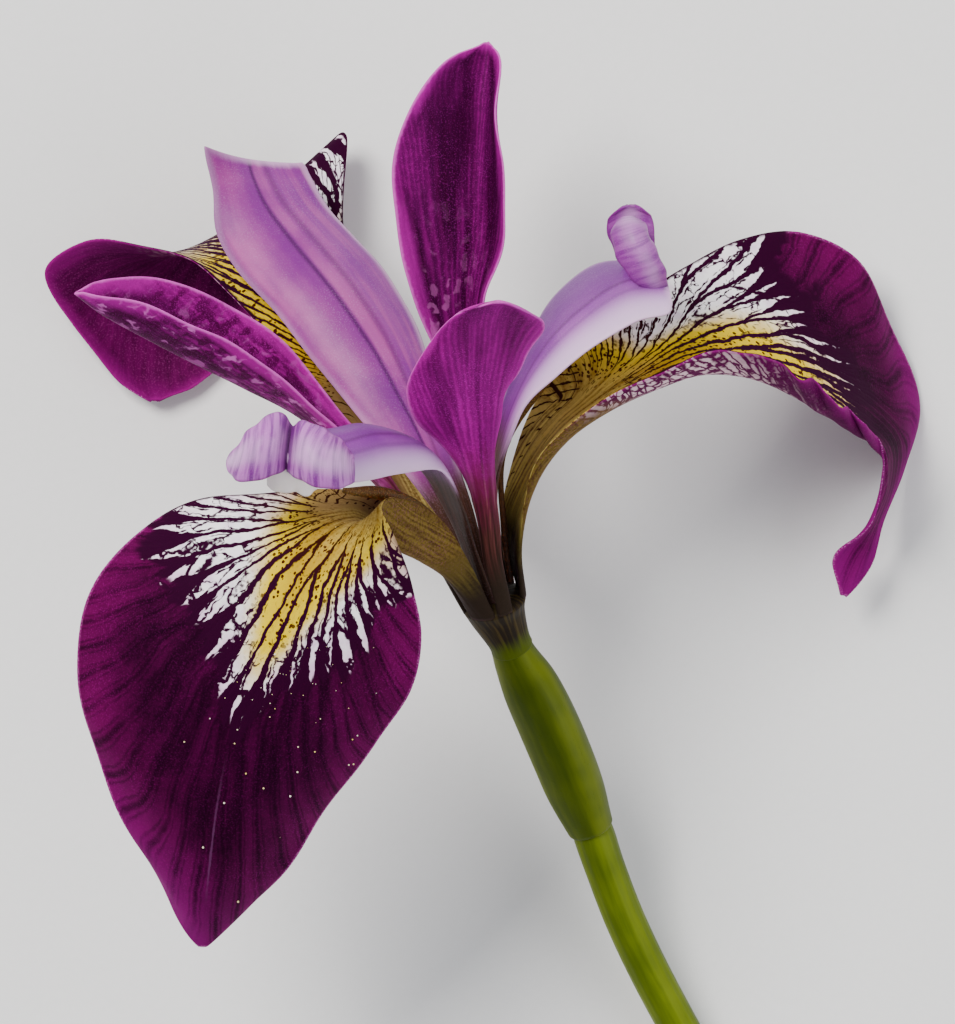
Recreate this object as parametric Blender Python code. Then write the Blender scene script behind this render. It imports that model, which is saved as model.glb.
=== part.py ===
"""An iris flower on a short cut stem, lying on a flat surface as it does when it is put down.

Three falls and three standards grow from the rim of the perianth tube, with three petal-like
style arms inside them and a stamen under each arm. Below the tube come the ovary and the stem.
The flower touches the surface at three places: the stem's cut end, the back fall and the right fall.
"""

import bpy
import numpy as np
from mathutils import Vector

MM = 0.001

# Driving dimensions, in millimetres
PETAL_THICKNESS = 0.7
ARM_THICKNESS = 0.62
CREST_THICKNESS = 0.6
SEAT_GAP = 0.45
STEM_RADIUS = 1.8
OVARY_RADIUS = 2.9
TUBE_LOW_RADIUS = 1.95
TUBE_TOP_RADIUS = 3.3
FILAMENT_RADIUS = 0.3
ANTHER_RADIUS = 0.75

# Where the throat, the zero of every point below, stands in the row frame
THROAT = Vector((2.14, -1.15, 22.5))

# The tube's top rim: its centre, and the way the flower faces from there
RIM_CENTRE = Vector((-1.3, 0.3, 0.5))
FLOWER_AXIS = Vector((-0.25, 0.82, 0.5)).normalized()
OUTER_SEAT = 2.8
STYLE_SEAT = 1.25
STAMEN_SEAT = 2.0


def on_rim(angle, radius):
    """A point just above the tube's rim. Angles run from the right, through the far side."""
    near = (Vector((0, 0, 1)) - FLOWER_AXIS * FLOWER_AXIS.z).normalized()
    right = FLOWER_AXIS.cross(near)
    turn = np.radians(angle)
    point = RIM_CENTRE + FLOWER_AXIS * SEAT_GAP
    point += (right * np.cos(turn) - near * np.sin(turn)) * radius
    return tuple(point)


def seat(left_angle, right_angle, radius):
    """The first station of a petal: left edge, midrib and right edge on the rim."""
    middle = (left_angle + right_angle) / 2
    return on_rim(left_angle, radius), on_rim(middle, radius), on_rim(right_angle, radius)


# Petal stations run from the seat on the rim to the tip. Each is (left edge, midrib, right edge),
# and each point is x to the right, y towards the flower's top and z up from the surface,
# in millimetres from the throat.
FALL_FRONT = [
    seat(212, 264, OUTER_SEAT),
    ((-6.1, 3.8, 4.0), (-5.0, 1.2, 6.0), (-3.4, 3.3, 7.1)),
    ((-8.6, 7.4, 7.8), (-7.6, 2.8, 10.4), (-5.7, 7.0, 11.8)),
    ((-11.2, 9.3, 12.4), (-10.2, 4.2, 15.8), (-8.6, 8.9, 16.6)),
    ((-14.4, 9.9, 17.0), (-13.4, 6.7, 20.6), (-11.4, 9.0, 20.8)),
    ((-20.0, 9.6, 19.6), (-16.8, 6.0, 24.2), (-10.4, 5.6, 22.6)),
    ((-26.8, 8.3, 20.0), (-20.2, 3.0, 26.2), (-9.0, 1.0, 22.2)),
    ((-33.2, 4.7, 19.6), (-22.4, -1.2, 26.6), (-8.3, -3.2, 21.6)),
    ((-37.4, -0.6, 19.0), (-23.8, -6.4, 26.0), (-9.2, -8.0, 20.6)),
    ((-38.2, -7.0, 18.4), (-24.8, -12.0, 24.4), (-12.0, -12.6, 19.2)),
    ((-36.2, -14.2, 17.2), (-25.8, -17.6, 21.8), (-15.3, -17.2, 17.4)),
    ((-33.2, -20.8, 15.2), (-26.6, -23.0, 18.4), (-19.2, -22.2, 15.0)),
    ((-30.3, -26.6, 12.4), (-27.2, -28.0, 14.2), (-23.2, -27.0, 12.2)),
    ((-28.6, -31.2, 9.6), (-27.4, -31.6, 9.8), (-26.2, -31.2, 9.4)),
]
FALL_RIGHT = [
    seat(26, -26, OUTER_SEAT),
    ((-0.3, 7.0, 0.2), (0.9, 5.8, 2.2), (1.3, 5.2, 4.2)),
    ((0.5, 12.2, 0.0), (2.5, 10.7, 3.2), (2.5, 11.8, 6.2)),
    ((2.5, 17.8, -1.0), (5.2, 14.8, 3.2), (5.2, 15.4, 7.8)),
    ((6.8, 23.2, -2.6), (9.0, 17.8, 3.0), (9.3, 18.4, 9.2)),
    ((12.0, 27.6, -4.6), (13.6, 20.1, 2.2), (13.7, 20.8, 10.8)),
    ((16.8, 30.8, -7.0), (18.0, 21.6, 1.0), (18.4, 22.6, 11.4)),
    ((21.8, 33.4, -9.8), (22.8, 21.6, -1.0), (23.2, 22.0, 10.2)),
    ((27.8, 34.3, -13.4), (27.4, 20.0, -3.8), (27.6, 20.2, 7.0)),
    ((33.2, 31.2, -17.2), (31.2, 17.8, -6.8), (30.8, 17.8, 2.4)),
    ((36.8, 24.4, -20.4), (33.8, 15.8, -9.8), (33.4, 15.8, -2.6)),
    ((39.0, 17.8, -22.5), (36.0, 13.6, -13.0), (35.4, 13.4, -7.6)),
    ((37.9, 12.0, -21.9), (36.2, 10.4, -15.2), (35.6, 10.2, -11.4)),
    ((36.0, 7.2, -19.0), (34.9, 6.8, -16.0), (34.2, 6.8, -13.8)),
    ((34.7, 3.4, -17.8), (33.2, 3.4, -16.4), (30.9, 4.0, -15.6)),
    ((32.6, 0.3, -17.0), (31.9, 0.4, -16.8), (31.2, 0.8, -16.4)),
]
FALL_BACK = [
    seat(148, 96, OUTER_SEAT),
    ((-6.6, 5.4, 0.0), (-5.4, 6.0, -1.4), (-4.0, 7.0, -2.4)),
    ((-10.2, 11.4, -1.2), (-8.6, 12.6, -3.8), (-6.8, 13.8, -4.8)),
    ((-14.4, 17.4, -3.0), (-12.2, 19.6, -6.6), (-9.8, 21.0, -7.8)),
    ((-19.2, 23.6, -5.0), (-15.8, 26.2, -9.6), (-12.6, 28.0, -11.6)),
    ((-24.6, 28.2, -7.4), (-19.8, 31.4, -12.8), (-15.4, 34.6, -15.4)),
    ((-29.6, 31.2, -10.0), (-24.4, 34.0, -16.0), (-15.3, 43.4, -17.8)),
    ((-34.4, 33.0, -12.4), (-28.6, 33.0, -18.8), (-17.8, 41.6, -20.6)),
    ((-39.6, 33.3, -15.0), (-31.4, 30.0, -20.8), (-20.0, 35.0, -21.8)),
    ((-43.5, 30.6, -17.4), (-33.2, 26.6, -21.8), (-23.0, 28.6, -21.8)),
    ((-40.8, 26.0, -19.2), (-33.6, 23.6, -21.9), (-26.4, 23.8, -21.2)),
    ((-37.1, 21.6, -20.0), (-33.6, 20.8, -21.4), (-29.6, 20.6, -20.8)),
    ((-34.6, 18.7, -20.2), (-33.1, 18.5, -20.4), (-31.6, 18.6, -20.2)),
]
STANDARD_FRONT = [
    seat(271, 299, OUTER_SEAT),
    ((-2.0, 3.4, 6.0), (-1.2, 3.4, 6.6), (-0.4, 3.7, 6.2)),
    ((-2.8, 8.0, 9.0), (-1.8, 8.2, 9.9), (-0.9, 8.6, 9.0)),
    ((-4.6, 12.4, 11.4), (-2.2, 13.2, 13.4), (-1.0, 13.4, 12.2)),
    ((-8.0, 16.2, 14.8), (-2.3, 17.8, 17.8), (-0.3, 18.2, 16.4)),
    ((-9.1, 19.2, 18.6), (-2.2, 21.6, 22.4), (1.5, 21.6, 21.0)),
    ((-7.3, 22.8, 22.8), (-1.8, 24.6, 26.8), (3.1, 24.4, 25.6)),
    ((-4.8, 25.6, 27.4), (-1.2, 26.4, 30.4), (2.4, 25.8, 29.6)),
    ((-1.8, 26.6, 32.2), (-0.8, 26.8, 33.2), (0.3, 26.6, 32.8)),
]
STANDARD_LEFT = [
    seat(196, 164, OUTER_SEAT),
    ((-7.7, 5.9, 3.6), (-8.0, 5.9, 2.4), (-7.5, 6.6, 1.4)),
    ((-12.4, 12.2, 6.6), (-13.0, 11.6, 4.0), (-12.2, 13.4, 2.0)),
    ((-18.6, 18.6, 9.4), (-18.8, 16.6, 4.8), (-17.0, 19.4, 2.4)),
    ((-24.2, 22.7, 11.6), (-24.0, 19.4, 6.0), (-20.6, 23.8, 3.2)),
    ((-29.4, 25.5, 13.0), (-28.8, 21.8, 7.6), (-25.6, 27.0, 4.6)),
    ((-34.0, 27.2, 13.6), (-33.4, 24.2, 9.2), (-31.4, 29.4, 6.8)),
    ((-37.6, 27.8, 13.4), (-37.0, 26.2, 10.8), (-36.0, 29.4, 9.4)),
    ((-39.4, 28.2, 12.8), (-39.4, 28.0, 12.2), (-39.2, 28.6, 11.8)),
]
STANDARD_UPRIGHT = [
    seat(76, 44, OUTER_SEAT),
    ((-2.8, 8.0, -1.6), (-1.9, 8.0, -2.2), (-0.9, 7.8, -1.6)),
    ((-4.4, 14.8, -2.2), (-3.0, 14.8, -3.0), (-1.6, 14.6, -2.0)),
    ((-5.8, 21.0, -1.0), (-3.5, 21.2, -2.4), (-2.0, 21.2, -0.4)),
    ((-8.6, 27.6, 1.8), (-3.6, 27.6, -0.8), (-1.9, 27.6, 2.6)),
    ((-10.0, 33.6, 3.4), (-3.1, 33.4, 0.6), (0.0, 33.6, 4.8)),
    ((-10.4, 39.6, 4.4), (-2.7, 39.4, 1.6), (-0.2, 39.6, 6.0)),
    ((-8.9, 44.8, 4.4), (-2.3, 45.0, 2.0), (-1.2, 44.8, 5.8)),
    ((-5.6, 49.2, 3.4), (-1.9, 49.4, 1.4), (-0.8, 49.2, 3.8)),
    ((-2.6, 51.2, 1.6), (-1.8, 51.4, 1.0), (-1.1, 51.2, 1.6)),
]
ARM_FRONT = [
    seat(200, 276, STYLE_SEAT),
    ((-4.5, 5.8, 3.8), (-3.6, 5.4, 5.3), (-2.9, 5.0, 5.6)),
    ((-7.4, 11.2, 7.4), (-5.7, 11.1, 10.2), (-4.4, 9.4, 10.8)),
    ((-10.6, 14.6, 12.8), (-8.0, 14.2, 16.4), (-6.0, 11.7, 16.4)),
    ((-13.4, 15.8, 18.2), (-11.4, 14.8, 21.8), (-9.8, 11.4, 21.2)),
    ((-16.4, 15.4, 23.2), (-15.0, 14.0, 26.4), (-13.8, 10.6, 25.4)),
    ((-18.8, 14.6, 27.2), (-18.2, 13.2, 29.6), (-17.6, 10.6, 28.8)),
    ((-20.0, 13.8, 29.6), (-19.7, 12.9, 31.2), (-19.4, 11.2, 30.6)),
]
ARM_RIGHT = [
    seat(38, -38, STYLE_SEAT),
    ((-1.9, 7.2, 1.2), (-1.0, 6.4, 3.0), (-1.1, 5.6, 4.4)),
    ((-1.4, 13.8, 1.2), (-0.8, 12.4, 4.6), (-0.9, 10.6, 6.6)),
    ((0.8, 20.4, 0.4), (1.2, 18.6, 5.8), (1.2, 16.8, 8.8)),
    ((3.8, 26.2, -0.4), (4.2, 23.6, 6.4), (4.6, 20.4, 10.2)),
    ((7.2, 29.8, -0.6), (7.8, 27.0, 6.6), (8.4, 23.4, 10.8)),
    ((10.6, 30.9, 0.4), (11.0, 28.9, 6.6), (11.8, 25.4, 10.6)),
    ((13.4, 30.3, 2.8), (13.6, 29.0, 7.2), (14.6, 26.0, 9.8)),
    ((14.8, 29.2, 5.4), (14.9, 28.4, 7.4), (15.2, 26.8, 8.8)),
]
ARM_BACK = [
    seat(160, 84, STYLE_SEAT),
    ((-5.2, 5.8, 1.4), (-4.0, 6.6, 0.8), (-2.8, 7.2, 0.2)),
    ((-9.4, 11.6, 1.4), (-6.9, 12.8, 1.0), (-4.9, 13.8, 0.0)),
    ((-13.8, 16.9, 0.0), (-9.8, 18.8, 0.0), (-6.6, 20.2, -1.9)),
    ((-17.6, 21.6, -2.0), (-12.8, 24.0, -1.8), (-8.2, 25.6, -5.2)),
    ((-21.3, 26.4, -4.4), (-16.2, 28.8, -4.0), (-10.8, 30.2, -8.0)),
    ((-25.0, 30.4, -6.8), (-19.2, 32.6, -6.4), (-14.2, 33.8, -10.2)),
    ((-27.0, 34.0, -8.4), (-21.8, 35.9, -8.4), (-16.8, 36.6, -11.2)),
    ((-27.4, 38.2, -8.8), (-23.4, 38.9, -10.0), (-18.2, 39.2, -11.6)),
    ((-28.3, 42.2, -8.4), (-24.0, 40.9, -11.0), (-18.8, 40.7, -11.2)),
]

# The crest at the end of an arm is a pair of lobes that turn up. They are sheets like the petals,
# and their first stations lie inside the arm.
CREST_FRONT_NEAR = [
    ((-19.2, 15.6, 30.4), (-19.5, 13.4, 31.0), (-19.7, 11.6, 30.4)),
    ((-18.2, 16.2, 32.0), (-18.3, 13.4, 33.6), (-18.4, 10.7, 32.8)),
    ((-16.4, 15.3, 32.0), (-16.4, 12.8, 34.0), (-16.2, 10.1, 33.0)),
    ((-15.0, 14.6, 30.6), (-14.7, 12.5, 32.4), (-14.4, 10.2, 31.6)),
    ((-14.0, 13.4, 29.2), (-13.8, 12.2, 30.0), (-13.7, 10.8, 29.6)),
]
CREST_FRONT_FAR = [
    ((-19.2, 15.6, 29.6), (-19.5, 13.6, 30.6), (-19.6, 12.0, 30.2)),
    ((-20.6, 17.0, 31.0), (-20.8, 14.2, 32.6), (-21.0, 11.2, 31.8)),
    ((-22.4, 15.9, 31.0), (-22.6, 13.6, 33.0), (-22.8, 10.7, 32.0)),
    ((-24.0, 14.2, 30.4), (-24.2, 12.7, 31.6), (-24.3, 10.9, 31.0)),
    ((-25.0, 13.0, 29.6), (-25.1, 12.4, 30.0), (-25.1, 11.6, 29.8)),
]
CREST_RIGHT_NEAR = [
    ((13.4, 27.4, 6.8), (14.2, 28.0, 7.2), (14.9, 28.4, 6.6)),
    ((11.4, 29.6, 8.4), (13.2, 30.0, 9.6), (14.6, 30.0, 8.4)),
    ((10.1, 31.4, 8.6), (12.1, 32.2, 10.2), (13.8, 31.8, 8.8)),
    ((9.7, 33.2, 7.8), (11.4, 34.2, 9.4), (13.2, 33.4, 8.0)),
    ((10.2, 34.8, 6.6), (11.4, 35.1, 7.4), (12.6, 34.6, 6.6)),
]
CREST_RIGHT_FAR = [
    ((12.4, 29.2, 3.8), (13.4, 29.2, 4.6), (14.4, 28.8, 4.8)),
    ((10.4, 31.4, 3.4), (12.0, 31.6, 4.6), (13.8, 31.2, 4.8)),
    ((9.4, 33.4, 4.0), (11.4, 33.8, 5.0), (13.7, 33.2, 4.8)),
    ((9.4, 35.0, 5.0), (11.4, 35.6, 5.4), (13.5, 34.9, 5.0)),
    ((10.4, 35.9, 5.8), (11.6, 36.2, 5.9), (12.8, 35.8, 5.8)),
]

# Centre lines from the top down, each point x, y, z and radius, in millimetres from the throat
TUBE_LINE = [
    (*RIM_CENTRE, TUBE_TOP_RADIUS),
    (*(RIM_CENTRE - FLOWER_AXIS * 2.1), 2.65),
    (0.25, -3.8, -1.6, TUBE_LOW_RADIUS),
]
OVARY_LINE = [
    (0.35, -4.1, -1.8, TUBE_LOW_RADIUS),
    (1.0, -5.6, -2.7, 2.2),
    (2.3, -8.2, -4.2, 2.7),
    (3.8, -11.4, -6.0, OVARY_RADIUS),
    (5.25, -14.8, -7.8, OVARY_RADIUS),
    (6.5, -17.9, -9.4, 2.75),
    (7.7, -20.8, -10.8, 2.2),
    (8.2, -22.0, -11.4, 1.95),
]
STEM_LINE = [
    (8.35, -22.35, -11.6, 1.85),
    (9.5, -25.6, -13.1, STEM_RADIUS),
    (11.4, -30.4, -14.9, STEM_RADIUS),
    (13.9, -35.6, -16.8, STEM_RADIUS),
    (17.1, -41.6, -18.9, STEM_RADIUS),
    (20.7, -48.4, -20.8, STEM_RADIUS),
]

# Stamens lie between an arm and its fall. Each point is x, y, z; the last two carry the anther.
STAMEN_FRONT = [
    on_rim(238, STAMEN_SEAT),
    (-4.4, 4.2, 6.2),
    (-7.4, 8.2, 11.6),
    (-11.2, 9.6, 17.8),
    (-14.8, 9.9, 22.0),
]
STAMEN_RIGHT = [
    on_rim(0, STAMEN_SEAT),
    (0.0, 6.4, 2.6),
    (1.4, 13.4, 4.2),
    (5.6, 19.6, 5.2),
    (10.0, 23.2, 6.0),
]
STAMEN_BACK = [
    on_rim(122, STAMEN_SEAT),
    (-4.8, 6.4, -0.4),
    (-8.2, 13.4, -1.8),
    (-12.0, 20.4, -3.8),
    (-15.8, 26.2, -6.4),
]

FALL_GRID = (34, 10)
STANDARD_GRID = (20, 8)
ARM_GRID = (20, 8)
CREST_GRID = (8, 6)
TIP_SHARE = 0.06
ROD_SIDES = 20
STAMEN_SIDES = 8


def new_collection(name):
    """A collection in the scene for one kind of object."""
    collection = bpy.data.collections.new(name)
    bpy.context.scene.collection.children.link(collection)
    return collection


def finish_material(name, colour, roughness):
    """A plain Principled finish in the part's own colour."""
    material = bpy.data.materials.new(name)
    material.use_nodes = True
    shader = material.node_tree.nodes["Principled BSDF"]
    shader.inputs["Base Color"].default_value = (*colour, 1.0)
    shader.inputs["Roughness"].default_value = roughness
    shader.inputs["Metallic"].default_value = 0.0
    return material


def through(points, count):
    """Points at even steps along a smooth curve through the given ones (Catmull-Rom)."""
    points = np.asarray(points, float)
    padded = np.vstack([2 * points[0] - points[1], points, 2 * points[-1] - points[-2]])
    steps = np.linspace(0, len(points) - 1, count)
    first = np.minimum(steps.astype(int), len(points) - 2)
    share = (steps - first)[:, None]
    a, b, c, d = (padded[first + i] for i in range(4))
    return 0.5 * (
        2 * b
        + (c - a) * share
        + (2 * a - 5 * b + 4 * c - d) * share**2
        + (3 * b - a - 3 * c + d) * share**3
    )


def sheet_grid(stations, rows, columns, fold, closing):
    """Points of a petal, row by row: each row bends from edge to edge through the midrib.

    A fold of 2 gives a rounded trough, and a smaller one a sharper crease at the midrib.
    The last part of the length narrows as a quarter ellipse does, by the closing: 0 keeps a
    square end, and 1 would come to a point.
    """
    rails = through(np.array(stations).reshape(len(stations), 9), rows + 1).reshape(rows + 1, 3, 3)
    left, middle, right = rails[:, 0], rails[:, 1], rails[:, 2]
    along = np.linspace(0, 1, rows + 1)
    end = np.clip((along - 1 + TIP_SHARE) / TIP_SHARE, 0, 1) * closing
    width = np.sqrt(1 - end**2)[:, None, None]
    across = np.linspace(-1, 1, columns + 1)[None, :, None] * width
    bend = np.abs(across) ** fold
    return (
        middle[:, None]
        + across * ((right - left) / 2)[:, None]
        + bend * ((left + right) / 2 - middle)[:, None]
    )


def placed(points):
    """From millimetres about the throat to metres in the row frame."""
    return (np.asarray(points, float) + np.array(THROAT)) * MM


def link_mesh(name, points, faces, material, collection):
    """An object at the origin with this mesh, shaded smooth."""
    mesh = bpy.data.meshes.new(name)
    mesh.from_pydata([tuple(p) for p in points], [], faces)
    mesh.materials.append(material)
    mesh.shade_smooth()
    thing = bpy.data.objects.new(name, mesh)
    collection.objects.link(thing)
    return thing


def add_sheet(name, stations, grid, thickness, material, collection, fold=2.0, closing=0.9):
    """A petal as a closed solid: two skins the thickness apart, and a wall round the edge.

    Both skins are split into triangles along the same diagonals. Where the petal would dip
    under the surface it lies on, it is pressed flat.
    """
    rows, columns = grid
    points = sheet_grid(stations, rows, columns, fold, closing)
    normal = np.cross(np.gradient(points, axis=1), np.gradient(points, axis=0))
    normal /= np.linalg.norm(normal, axis=2, keepdims=True)
    offset = normal * thickness / 2
    skins = placed(np.concatenate([(points + offset).reshape(-1, 3), (points - offset).reshape(-1, 3)]))
    skins[:, 2] = np.maximum(skins[:, 2], 0.0)
    line = columns + 1
    under = (rows + 1) * line
    faces = []
    for row in range(rows):
        for step in range(columns):
            a = row * line + step
            b, c, d = a + 1, a + line + 1, a + line
            faces += [(a, b, c), (a, c, d), (c + under, b + under, a + under), (d + under, c + under, a + under)]
    edge = list(range(columns))
    edge += [row * line + columns for row in range(rows)]
    edge += [rows * line + step for step in range(columns, 0, -1)]
    edge += [row * line for row in range(rows, 0, -1)]
    for a, b in zip(edge, edge[1:] + edge[:1]):
        faces += [(a, a + under, b + under), (a, b + under, b)]
    return link_mesh(name, skins, faces, material, collection)


def add_rod(name, line, material, collection, count, sides=ROD_SIDES):
    """A round piece of changing radius along a centre line, with flat ends."""
    line = through(line, count)
    centres, radii = line[:, :3], line[:, 3]
    tangents = np.gradient(centres, axis=0)
    tangents[0] = centres[1] - centres[0]
    tangents /= np.linalg.norm(tangents, axis=1, keepdims=True)
    turns = np.linspace(0, 2 * np.pi, sides, endpoint=False)
    rings = []
    for centre, radius, tangent in zip(centres, radii, tangents):
        first = np.cross(tangent, (0, 0, 1))
        first /= np.linalg.norm(first)
        second = np.cross(tangent, first)
        rings.append(centre + radius * (np.outer(np.cos(turns), first) + np.outer(np.sin(turns), second)))
    faces = [tuple(reversed(range(sides)))]
    for ring in range(count - 1):
        for side in range(sides):
            a, b = ring * sides + side, ring * sides + (side + 1) % sides
            faces += [(a, b, b + sides), (a, b + sides, a + sides)]
    faces.append(tuple(range((count - 1) * sides, count * sides)))
    points = placed(np.concatenate(rings))
    points[:, 2] = np.maximum(points[:, 2], 0.0)
    return link_mesh(name, points, faces, material, collection)


def join_lobe(arm, lobe):
    """Makes a crest lobe one solid with its arm."""
    union = arm.modifiers.new("join_" + lobe.name, "BOOLEAN")
    union.operation = "UNION"
    union.solver = "EXACT"
    union.object = lobe
    lobe.hide_render = True
    lobe.display_type = "WIRE"


def main():
    for thing in list(bpy.data.objects):
        bpy.data.objects.remove(thing)
    flower = new_collection("iris_flower")
    lobes = new_collection("crest_lobes")

    magenta = finish_material("fall_velvet", (0.17, 0.004, 0.13), 0.55)
    orchid = finish_material("standard_velvet", (0.33, 0.012, 0.25), 0.5)
    lilac = finish_material("style_lilac", (0.6, 0.36, 0.68), 0.45)
    olive = finish_material("tube_olive", (0.07, 0.05, 0.025), 0.55)
    green = finish_material("ovary_green", (0.16, 0.27, 0.02), 0.42)
    stem_green = finish_material("stem_green", (0.25, 0.36, 0.02), 0.42)
    pollen = finish_material("stamen_cream", (0.72, 0.66, 0.5), 0.6)

    for name, stations in (("front", FALL_FRONT), ("right", FALL_RIGHT), ("back", FALL_BACK)):
        add_sheet(f"fall_{name}", stations, FALL_GRID, PETAL_THICKNESS, magenta, flower)
    for name, stations, fold in (
        ("front", STANDARD_FRONT, 2.0),
        ("left", STANDARD_LEFT, 1.4),
        ("upright", STANDARD_UPRIGHT, 1.6),
    ):
        add_sheet(f"standard_{name}", stations, STANDARD_GRID, PETAL_THICKNESS, orchid, flower, fold)
    arms = {}
    for name, stations in (("front", ARM_FRONT), ("right", ARM_RIGHT), ("back", ARM_BACK)):
        arms[name] = add_sheet(
            f"style_arm_{name}", stations, ARM_GRID, ARM_THICKNESS, lilac, flower, closing=0.3
        )
    for arm, name, stations in (
        ("front", "near", CREST_FRONT_NEAR),
        ("front", "far", CREST_FRONT_FAR),
        ("right", "near", CREST_RIGHT_NEAR),
        ("right", "far", CREST_RIGHT_FAR),
    ):
        lobe = add_sheet(f"crest_{arm}_{name}", stations, CREST_GRID, CREST_THICKNESS, lilac, lobes)
        join_lobe(arms[arm], lobe)
    add_rod("perianth_tube", TUBE_LINE, olive, flower, 8)
    add_rod("ovary", OVARY_LINE, green, flower, 14)
    add_rod("stem", STEM_LINE, stem_green, flower, 14)
    for name, line in (("front", STAMEN_FRONT), ("right", STAMEN_RIGHT), ("back", STAMEN_BACK)):
        radii = [FILAMENT_RADIUS] * 3 + [ANTHER_RADIUS, FILAMENT_RADIUS]
        line = [(*point, radius) for point, radius in zip(line, radii)]
        add_rod(f"stamen_{name}", line, pollen, flower, 16, STAMEN_SIDES)


if __name__ == "__main__":
    main()
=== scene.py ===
# %% [markdown]
# # An iris flower, seen from above
# A cut iris lies on a pale surface. Three broad falls hang outwards, three narrower standards rise
# between them, and three petal-like style arms with curled crests lie over the falls' roots.
# The CAD solids give every piece its place. This script dresses them: each thick solid petal is
# replaced by a thin one of the same form, with the veins, velvet and colours of a real flower.

import bpy
import numpy as np
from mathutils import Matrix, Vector


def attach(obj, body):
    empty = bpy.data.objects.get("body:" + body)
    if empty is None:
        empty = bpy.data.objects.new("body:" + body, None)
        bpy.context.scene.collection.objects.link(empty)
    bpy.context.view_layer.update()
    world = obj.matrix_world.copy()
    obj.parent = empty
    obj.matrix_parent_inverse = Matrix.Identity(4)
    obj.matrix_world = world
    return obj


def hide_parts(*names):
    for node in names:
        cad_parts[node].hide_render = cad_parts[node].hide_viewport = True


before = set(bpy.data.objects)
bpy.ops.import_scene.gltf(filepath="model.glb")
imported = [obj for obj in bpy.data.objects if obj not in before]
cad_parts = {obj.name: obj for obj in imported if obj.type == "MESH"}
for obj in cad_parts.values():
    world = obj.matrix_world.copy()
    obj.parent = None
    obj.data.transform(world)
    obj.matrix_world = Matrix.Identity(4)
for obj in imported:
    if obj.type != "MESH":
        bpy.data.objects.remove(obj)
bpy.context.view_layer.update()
MM = 0.001
THROAT = np.array([2.14, -1.15, 22.5])


# %% [markdown]
# ## Where the eye is
# The flower lies down, so the camera looks straight down on it. A long lens a metre away keeps the
# petals' sizes true, as a portrait lens does for a face. One millimetre at the throat's height takes
# 10.8 pixels of the picture.

# %% The camera
PIXELS_WIDE, PIXELS_PER_MM = 955, 10.8
PICTURE_WIDTH = PIXELS_WIDE / PIXELS_PER_MM
CAMERA_HEIGHT = 1000.0
PICTURE_CENTRE = np.array([-2.64, 7.96, 0.0])

eye = bpy.data.cameras.new("eye")
eye.sensor_fit = "HORIZONTAL"
eye.sensor_width = 36.0
eye.lens = eye.sensor_width * CAMERA_HEIGHT / PICTURE_WIDTH
eye.clip_start = 0.05
eye.clip_end = 20.0
camera = bpy.data.objects.new("camera", eye)
camera.location = (THROAT + PICTURE_CENTRE + (0, 0, CAMERA_HEIGHT)) * MM
bpy.context.scene.collection.objects.link(camera)
bpy.context.scene.camera = camera
print("lens in millimetres:", round(eye.lens, 1))


# %% [markdown]
# ## Soft light
# A petal shows its ruffles by soft shade, so the light is a big softbox above and to the left, with
# a weaker one from the right and a little light from all round. Large area lights give soft shadows
# because each point of a petal sees a different share of them.

# %% Softboxes and the sky
LIGHT_CENTRE = Vector((0.0, 0.005, 0.03))


def softbox(name, place, size, power, colour):
    """A square area light at a place, turned to the flower."""
    lamp = bpy.data.lights.new(name, "AREA")
    lamp.shape = "SQUARE"
    lamp.size = size
    lamp.energy = power
    lamp.color = colour
    light = bpy.data.objects.new(name, lamp)
    light.location = place
    light.rotation_euler = (LIGHT_CENTRE - Vector(place)).to_track_quat("-Z", "Y").to_euler()
    bpy.context.scene.collection.objects.link(light)


softbox("key_light", (-0.42, 0.42, 0.8), 0.4, 12.5, (1.0, 0.98, 0.95))
softbox("fill_light", (0.7, -0.3, 0.5), 0.6, 3.4, (0.95, 0.97, 1.0))
softbox("back_light", (0.3, 0.8, 0.25), 0.5, 1.8, (1.0, 0.99, 0.97))
sky = bpy.data.worlds.new("soft_sky")
sky.use_nodes = True
sky.node_tree.nodes["Background"].inputs["Color"].default_value = (0.9, 0.93, 1.0, 1.0)
sky.node_tree.nodes["Background"].inputs["Strength"].default_value = 0.5
bpy.context.scene.world = sky


# %% [markdown]
# ## Shader sums as plain Python
# A pattern on a petal is arithmetic: distances, shares and thresholds. Wiring each Math node by hand
# hides that arithmetic, so one small class wraps a socket and lets the usual operators add the nodes.
# Colours go through Mix nodes, and any other node comes from one method.

# %% A socket with operators
def linear(red, green, blue):
    """A colour given on the screen's 0 to 255 scale, as the light that a shader works with."""
    share = np.array([red, green, blue]) / 255
    light = np.where(share <= 0.04045, share / 12.92, ((share + 0.055) / 1.055) ** 2.4)
    return (*light.tolist(), 1.0)


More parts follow.
